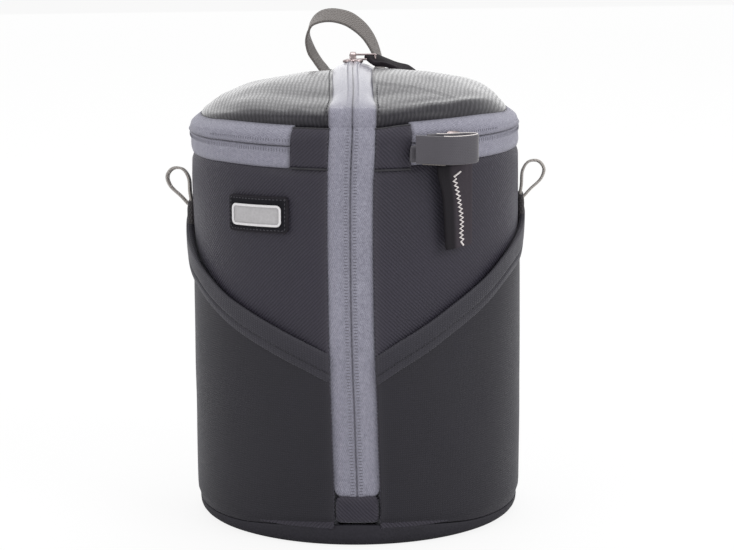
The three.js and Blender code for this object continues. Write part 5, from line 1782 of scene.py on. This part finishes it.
def pad_face(x, z):
    rim = min(21 - abs(x), z - 42, 132 - z)
    return 68.6 + 0.95 * ease(0, 9, rim) - 0.35 * hump(rim, 3.0, 0.7)


def box_line(x, z0, z1, y_of, steps=24):
    return [((u, y_of(u, z), z), (0, 1, 0)) for u, z in rectangle(x, z0, z1, steps)]


pad = block("belt_panel", 20.9, 42.1, 131.9, pad_face, on_wall, corner=5)
dress(pad, WALL_TWILL, "twill", ["belt_pad"], body="back", pad=0.5)
strap_anchor = block("strap_foot", 18.9, 126.1, 131.9, lambda x, z: 72.2, lambda x, z: 69.75, corner=0.8)
dress(strap_anchor, BELT_WEBBING, "strap", ["belt_strap_anchor"], body="back")
strap_path = even([(0, 70.7 + out * 5.1, 125.7 - 80 * down) for down, out in STRAP_SHAPE], 100)
strap = ribbon("belt_loop", strap_path, (1, 0, 0), section(37.8, 1.6))
dress(strap, BELT_WEBBING, "strap", ["belt_strap"], body="belt_strap")

cross = [box_line(BOX_X, BOX_LOW, BOX_HIGH, lambda x, z: BOX_Y)]
for z0, z1 in ((BOX_LOW, BOX_HIGH), (BOX_HIGH, BOX_LOW)):
    cross.append([((x, BOX_Y, z), (0, 1, 0)) for x, z in zip(spread(-BOX_X, BOX_X, 13), spread(z0, z1, 13))])
panel_line = box_line(17.8, 45.1, 128.9, lambda x, z: pad_face(x, z) + 0.1, 40)
for name, lines, sizes, thread in (
    ("belt_panel", [panel_line], (2.7, 2.1, 0.5, 0.4), DARK_THREAD),
    ("strap_foot", [box_line(17.2, 127.3, 130.7, lambda x, z: 72.25)], BOX_SIZES, GREY_THREAD),
    ("handle_foot", cross, BOX_SIZES, GREY_THREAD),
):
    dress(beads(name + "_stitches", lines, sizes, thread), None, "strap", body="back")
print("belt pad and strap are on")

# %% [markdown]
# ## Pull tabs
#
# The long tab hangs at the right of the front, with a pale zigzag stitch down its seam. It
# is broad where it hides the link, and narrower and cut at a slant at its foot. A short
# moulded tab lies on the crown: a panel with round corners, pinched at its top, where the
# link passes through.

# %% Tabs
FRONT_TURN = radians(35)
FRONT_U = Vector((cos(FRONT_TURN), sin(FRONT_TURN), 0))
FRONT_W = Vector((sin(FRONT_TURN), -cos(FRONT_TURN), 0))
TAB_LONG, TAB_RIGHT = 32.0, 6.0
TAB_LEFT = [(0, 8.0), (4, 7.6), (11, 5.9), (20, 5.2), (32, 4.5)]
TAB_SEAM = [(2.6, 0.5), (4.4, -2.1), (8, -1.4), (13.6, -0.1), (21.5, 1.1), (27, 0.9), (30, 1.6)]
CROWN_LONG, CROWN_HALF = 22.0, 4.8
CROWN_YAW, CROWN_ROLL = radians(33), radians(19)
CROWN_CORNER, CROWN_NECK = CROWN_HALF * 0.28, 0.12
TAB_DROOP = [(0, 0), (5, -0.35), (10, -2.2), (16, -4.5), (22, -6.0)]


def front_tab_frame(u, v, w):
    """The front tab's own axes: u across, v down from its top, w outward."""
    return FRONT_W * (69.85 + w) + FRONT_U * u + Vector((0, 0, 149.6 - v))


def front_pull():
    def place(share, s, w):
        v = TAB_LONG * s
        left = flow(TAB_LEFT, v)
        u = -left + (left + TAB_RIGHT) * share
        v -= 0.12 * (u + 5) * ease(0.6, 1, s)
        return front_tab_frame(u, v, w - 0.035 * max(0.0, 1 - u) ** 1.6)

    def face(share, s):
        rim = min(share, 1 - share) * 11
        return place(share, s, 1.0 + 0.15 * ease(0, 1.2, rim) - 0.14 * hump(rim, 1.3, 0.35))

    us = [0, 0.01, 0.03, 0.06, 0.09, 0.12, 0.15] + spread(0.2, 0.8, 10) + [0.85, 0.88, 0.91, 0.94, 0.97, 0.99, 1]
    ss = [0, 0.01, 0.025, 0.045] + spread(0.08, 0.92, 30) + [0.955, 0.975, 0.99, 1]
    return panel("front_pull", us, ss, face, lambda u, s: place(u, s, -1.0),
                 lambda u, s: (12 * u, TAB_LONG * s), roundness=0.6, wear=0.9)


def crown_tab_frame(u, v, w):
    """The crown's tab starts level, then droops on to the right half of the lid."""
    go = Vector((cos(CROWN_YAW), sin(CROWN_YAW), 0))
    across = Vector((-sin(CROWN_YAW) * cos(CROWN_ROLL), cos(CROWN_YAW) * cos(CROWN_ROLL), sin(CROWN_ROLL)))
    slope = (flow(TAB_DROOP, v + 0.5) - flow(TAB_DROOP, v - 0.5)) if v > 0.5 else 0
    face = (go + Vector((0, 0, slope))).normalized().cross(across)
    return Vector((5.4, 18.6, 181.6 + flow(TAB_DROOP, v))) + go * v * 0.97 + across * u + face * w


def crown_pull():
    def place(u, s, way):
        thick = 0.95 + 0.12 * (1 - (u / CROWN_HALF) ** 2) - 0.1 * hump(abs(u), CROWN_HALF - 1.5, 0.4)
        cut = -round_end(u, CROWN_HALF, 0, CROWN_CORNER)
        v = cut + (CROWN_LONG - 2 * cut) * s
        return crown_tab_frame(u * (1 - CROWN_NECK * hump(s, 0, 0.12)), v, way * thick)

    ends = [c * CROWN_CORNER for c in (0, 0.06, 0.16, 0.32, 0.55, 0.85)]
    us = both_ends(CROWN_HALF, ends, CROWN_HALF - CROWN_CORNER * 1.2, 8)
    ss = [0, 0.015, 0.035, 0.06] + spread(0.1, 0.9, 22) + [0.94, 0.965, 0.985, 1]
    return panel("crown_pull", us, ss, lambda u, s: place(u, s, 1), lambda u, s: place(u, s, -1),
                 lambda u, s: (u, CROWN_LONG * s), roundness=0.9, wear=0.9)


dress(front_pull(), TAB_CLOTH, "strap", ["top_pull_tab"], body="top_pull_tab")
zigzag = [front_tab_frame(0.6, 2.2, 1.2)]
for k in range(31):
    v = 4.0 + k * 0.85
    zigzag.append(front_tab_frame(flow(TAB_SEAM, v) + (0.75 if k % 2 else -0.75), v, 1.2))
zigzag.append(front_tab_frame(2.0, 31.0, 1.15))
dress(cord("front_pull_zigzag", zigzag, 0.4), PALE_THREAD, "strap", body="top_pull_tab")
dress(crown_pull(), TAB_RUBBER, "strap", ["crown_pull_tab"], body="crown_pull")
print("both tabs hang from their links")

# %% [markdown]
# ## Metal
#
# A slider is a die-cast shell with a nose, a flat tail and an arched bail over its top, and
# the bail holds a bent wire loop. Both sliders come from the same functions, placed by a
# small frame of their own: along the zip, across it and outward. The crown's link reaches
# across to its tab, and the top one hangs.

# %% Sliders and links
SLIDER_PLAN = [(-4.4, 1.7), (-3.6, 2.9), (-2.4, 3.6), (0, 3.7), (2.4, 3.2), (4.4, 2.5)]
BAIL_ARCH = [(-3.0, 1.1), (-2.9, 2.2), (-2.2, 3.3), (-1.0, 3.9), (0.4, 3.95), (1.6, 3.4), (2.3, 2.3), (2.4, 1.1)]
CROWN_LEAN = radians(-4)


def slider(name, frame_of):
    """A zip slider: u along the zip, v across it, w outward; its nose is at -u."""

    def face(u, s):
        crown = 0.5 * (1 - abs(s) ** 2.5) * (1 - (u / 5.4) ** 2) + 0.25 * hump(s, 0, 0.35)
        return frame_of(u, flow(SLIDER_PLAN, u) * s, 1.25 + crown)

    us, ss = both_ends(4.4, (0, 0.15, 0.45, 0.8), 3.1, 12), both_ends(1, (0, 0.05, 0.13, 0.24), 0.6, 9)
    plate = panel(name, us, ss, face, lambda u, s: frame_of(u, flow(SLIDER_PLAN, u) * s, 0.0),
                  lambda u, s: (u, 3.5 * s), roundness=0.8, wear=0.5)
    across = frame_of(0, 1, 0) - frame_of(0, 0, 0)
    arch = even([frame_of(u, 0, w) for u, w in BAIL_ARCH], 30)
    return plate, ribbon(name + "_bail", arch, across, section(2.5, 0.85))


def link(name, frame_of, near, far, u, low, high):
    """A bent wire loop through the bail: a rounded oblong in the plane across the zip."""
    stops = [(near, low), (near + 0.3, low - 0.25), (far - 0.3, low - 0.25), (far, low), (far, high),
             (far - 0.3, high + 0.25), (near + 0.3, high + 0.25), (near, high)]
    return cord(name, even([frame_of(u, v, w) for v, w in stops], 48, True), 0.42, 8, True)


def crown_place(u, v, w):
    """The crown's slider stands on the crest of the tape, on the lid's own slope."""
    rise, go = sin(CROWN_LEAN), cos(CROWN_LEAN)
    return Vector((-1.6 + v, 19.4 + u * go - w * rise, 180.6 + u * rise + w * go))


def top_place(u, v, w):
    return FRONT_W * (66.5 + w) + FRONT_U * u + Vector((0, 0, SLIT_Z + v + 0.6))


for name, place in (("crown_slider", crown_place), ("top_slider", top_place)):
    plate, bail = slider(name + "_shell", place)
    dress(plate, PLATED, "metal", [name], body=name)
    dress(bail, PLATED, "metal", body=name)
for name, place, reach, u, low, high, body in (
    ("crown", crown_place, (-1.0, 9.0), -0.3, 1.6, 3.0, "crown_pull"),
    ("top", top_place, (1.0, -10.2), 0.3, 2.2, 3.4, "top_slider"),
):
    dress(link(name + "_link", place, *reach, u, low, high), PLATED, "metal", [name + "_pull_link"], body=body)
print("plated; the crown slider stands at", [round(c, 1) for c in crown_place(0, 0, 0)])

# %% [markdown]
# ## Floor, world and lamps
#
# The picture was taken on white. The floor and the world look white to the camera, to gloss
# and through glass, while the cloth is lit by a plain softer level. Two wide soft lamps from
# the front sides, one from above and a wide dim one far behind give the round body its
# gentle turn and the lid its pale gloss.

# %% Floor
FLOOR = [(-3, -3, 0), (3, -3, 0), (3, 3, 0), (-3, 3, 0)]
WHITE = (1, 1, 1, 1)

floor_mesh = bpy.data.meshes.new("floor")
floor_mesh.from_pydata(FLOOR, [], [[0, 1, 2, 3]])
floor = add("floor", floor_mesh)
f = Finish("floor_paint")
paint = f.node("ShaderNodeBsdfDiffuse", None, {"Color": (0.86, 0.86, 0.86, 1)})
glow = f.node("ShaderNodeEmission", None, {"Color": WHITE, "Strength": 1.0})
seen = f.num("ShaderNodeLightPath", "Is Camera Ray") * 0.86
both = f.node("ShaderNodeMixShader", None, {0: seen, 1: paint.outputs[0], 2: glow.outputs[0]})
f.node("ShaderNodeOutputMaterial", None, {0: both.outputs[0]})
floor.data.materials.append(f.material)
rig.stage(floor)
print("floor laid")

# %% World and lamps
bpy.context.scene.world = bpy.data.worlds.new("white_room")
f = Finish("white_room", bpy.context.scene.world)
rays = f.node("ShaderNodeLightPath").outputs
seen = Num(f, rays["Is Camera Ray"]).most(rays["Is Glossy Ray"]).most(rays["Is Transmission Ray"])
soft_light, white = [f.node("ShaderNodeBackground", None, {"Color": WHITE, "Strength": s}) for s in (0.62, 1.0)]
room = f.node("ShaderNodeMixShader", None, {0: seen, 1: soft_light.outputs[0], 2: white.outputs[0]})
f.node("ShaderNodeOutputWorld", None, {0: room.outputs[0]})


def lamp(name, place, aim, size, power):
    data = bpy.data.lights.new(name, "AREA")
    data.shape, data.size, data.energy = "SQUARE", size, power
    made = add(name, data)
    made.location = place
    made.rotation_euler = (Vector(aim) - Vector(place)).to_track_quat("-Z", "Y").to_euler()


lamp("left_window", (-1.3, -1.0, 0.9), (0, 0, 0.1), 1.0, 7.5)
lamp("right_window", (1.3, -0.9, 0.9), (0, 0, 0.1), 1.0, 12)
lamp("overhead", (0.1, 0.5, 1.6), (0, 0, 0.1), 1.2, 14)
lamp("backdrop", (-0.2, 2.0, 0.7), (0, 0, 0.15), 2.0, 7)
bpy.context.scene.view_settings.view_transform = "Standard"
print("lit by", len(bpy.data.lights), "lamps")

# %% [markdown]
# ## The size of the dressed pouch
#
# The dressed pouch's box is printed and written to extents.json beside the frame's box. It should keep the frame's
# size, apart from what cloth may stand proud.

# %% Sizes
DRESSED_BOX = [list(corner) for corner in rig.bounds()]
with open("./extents.json", "w") as out:
    json.dump({"cad": CAD_BOX, "dressed": DRESSED_BOX}, out)
for name, box in (("cad", CAD_BOX), ("dressed", DRESSED_BOX)):
    print(name, "box in mm:", [[round(c / MM, 1) for c in corner] for corner in box])
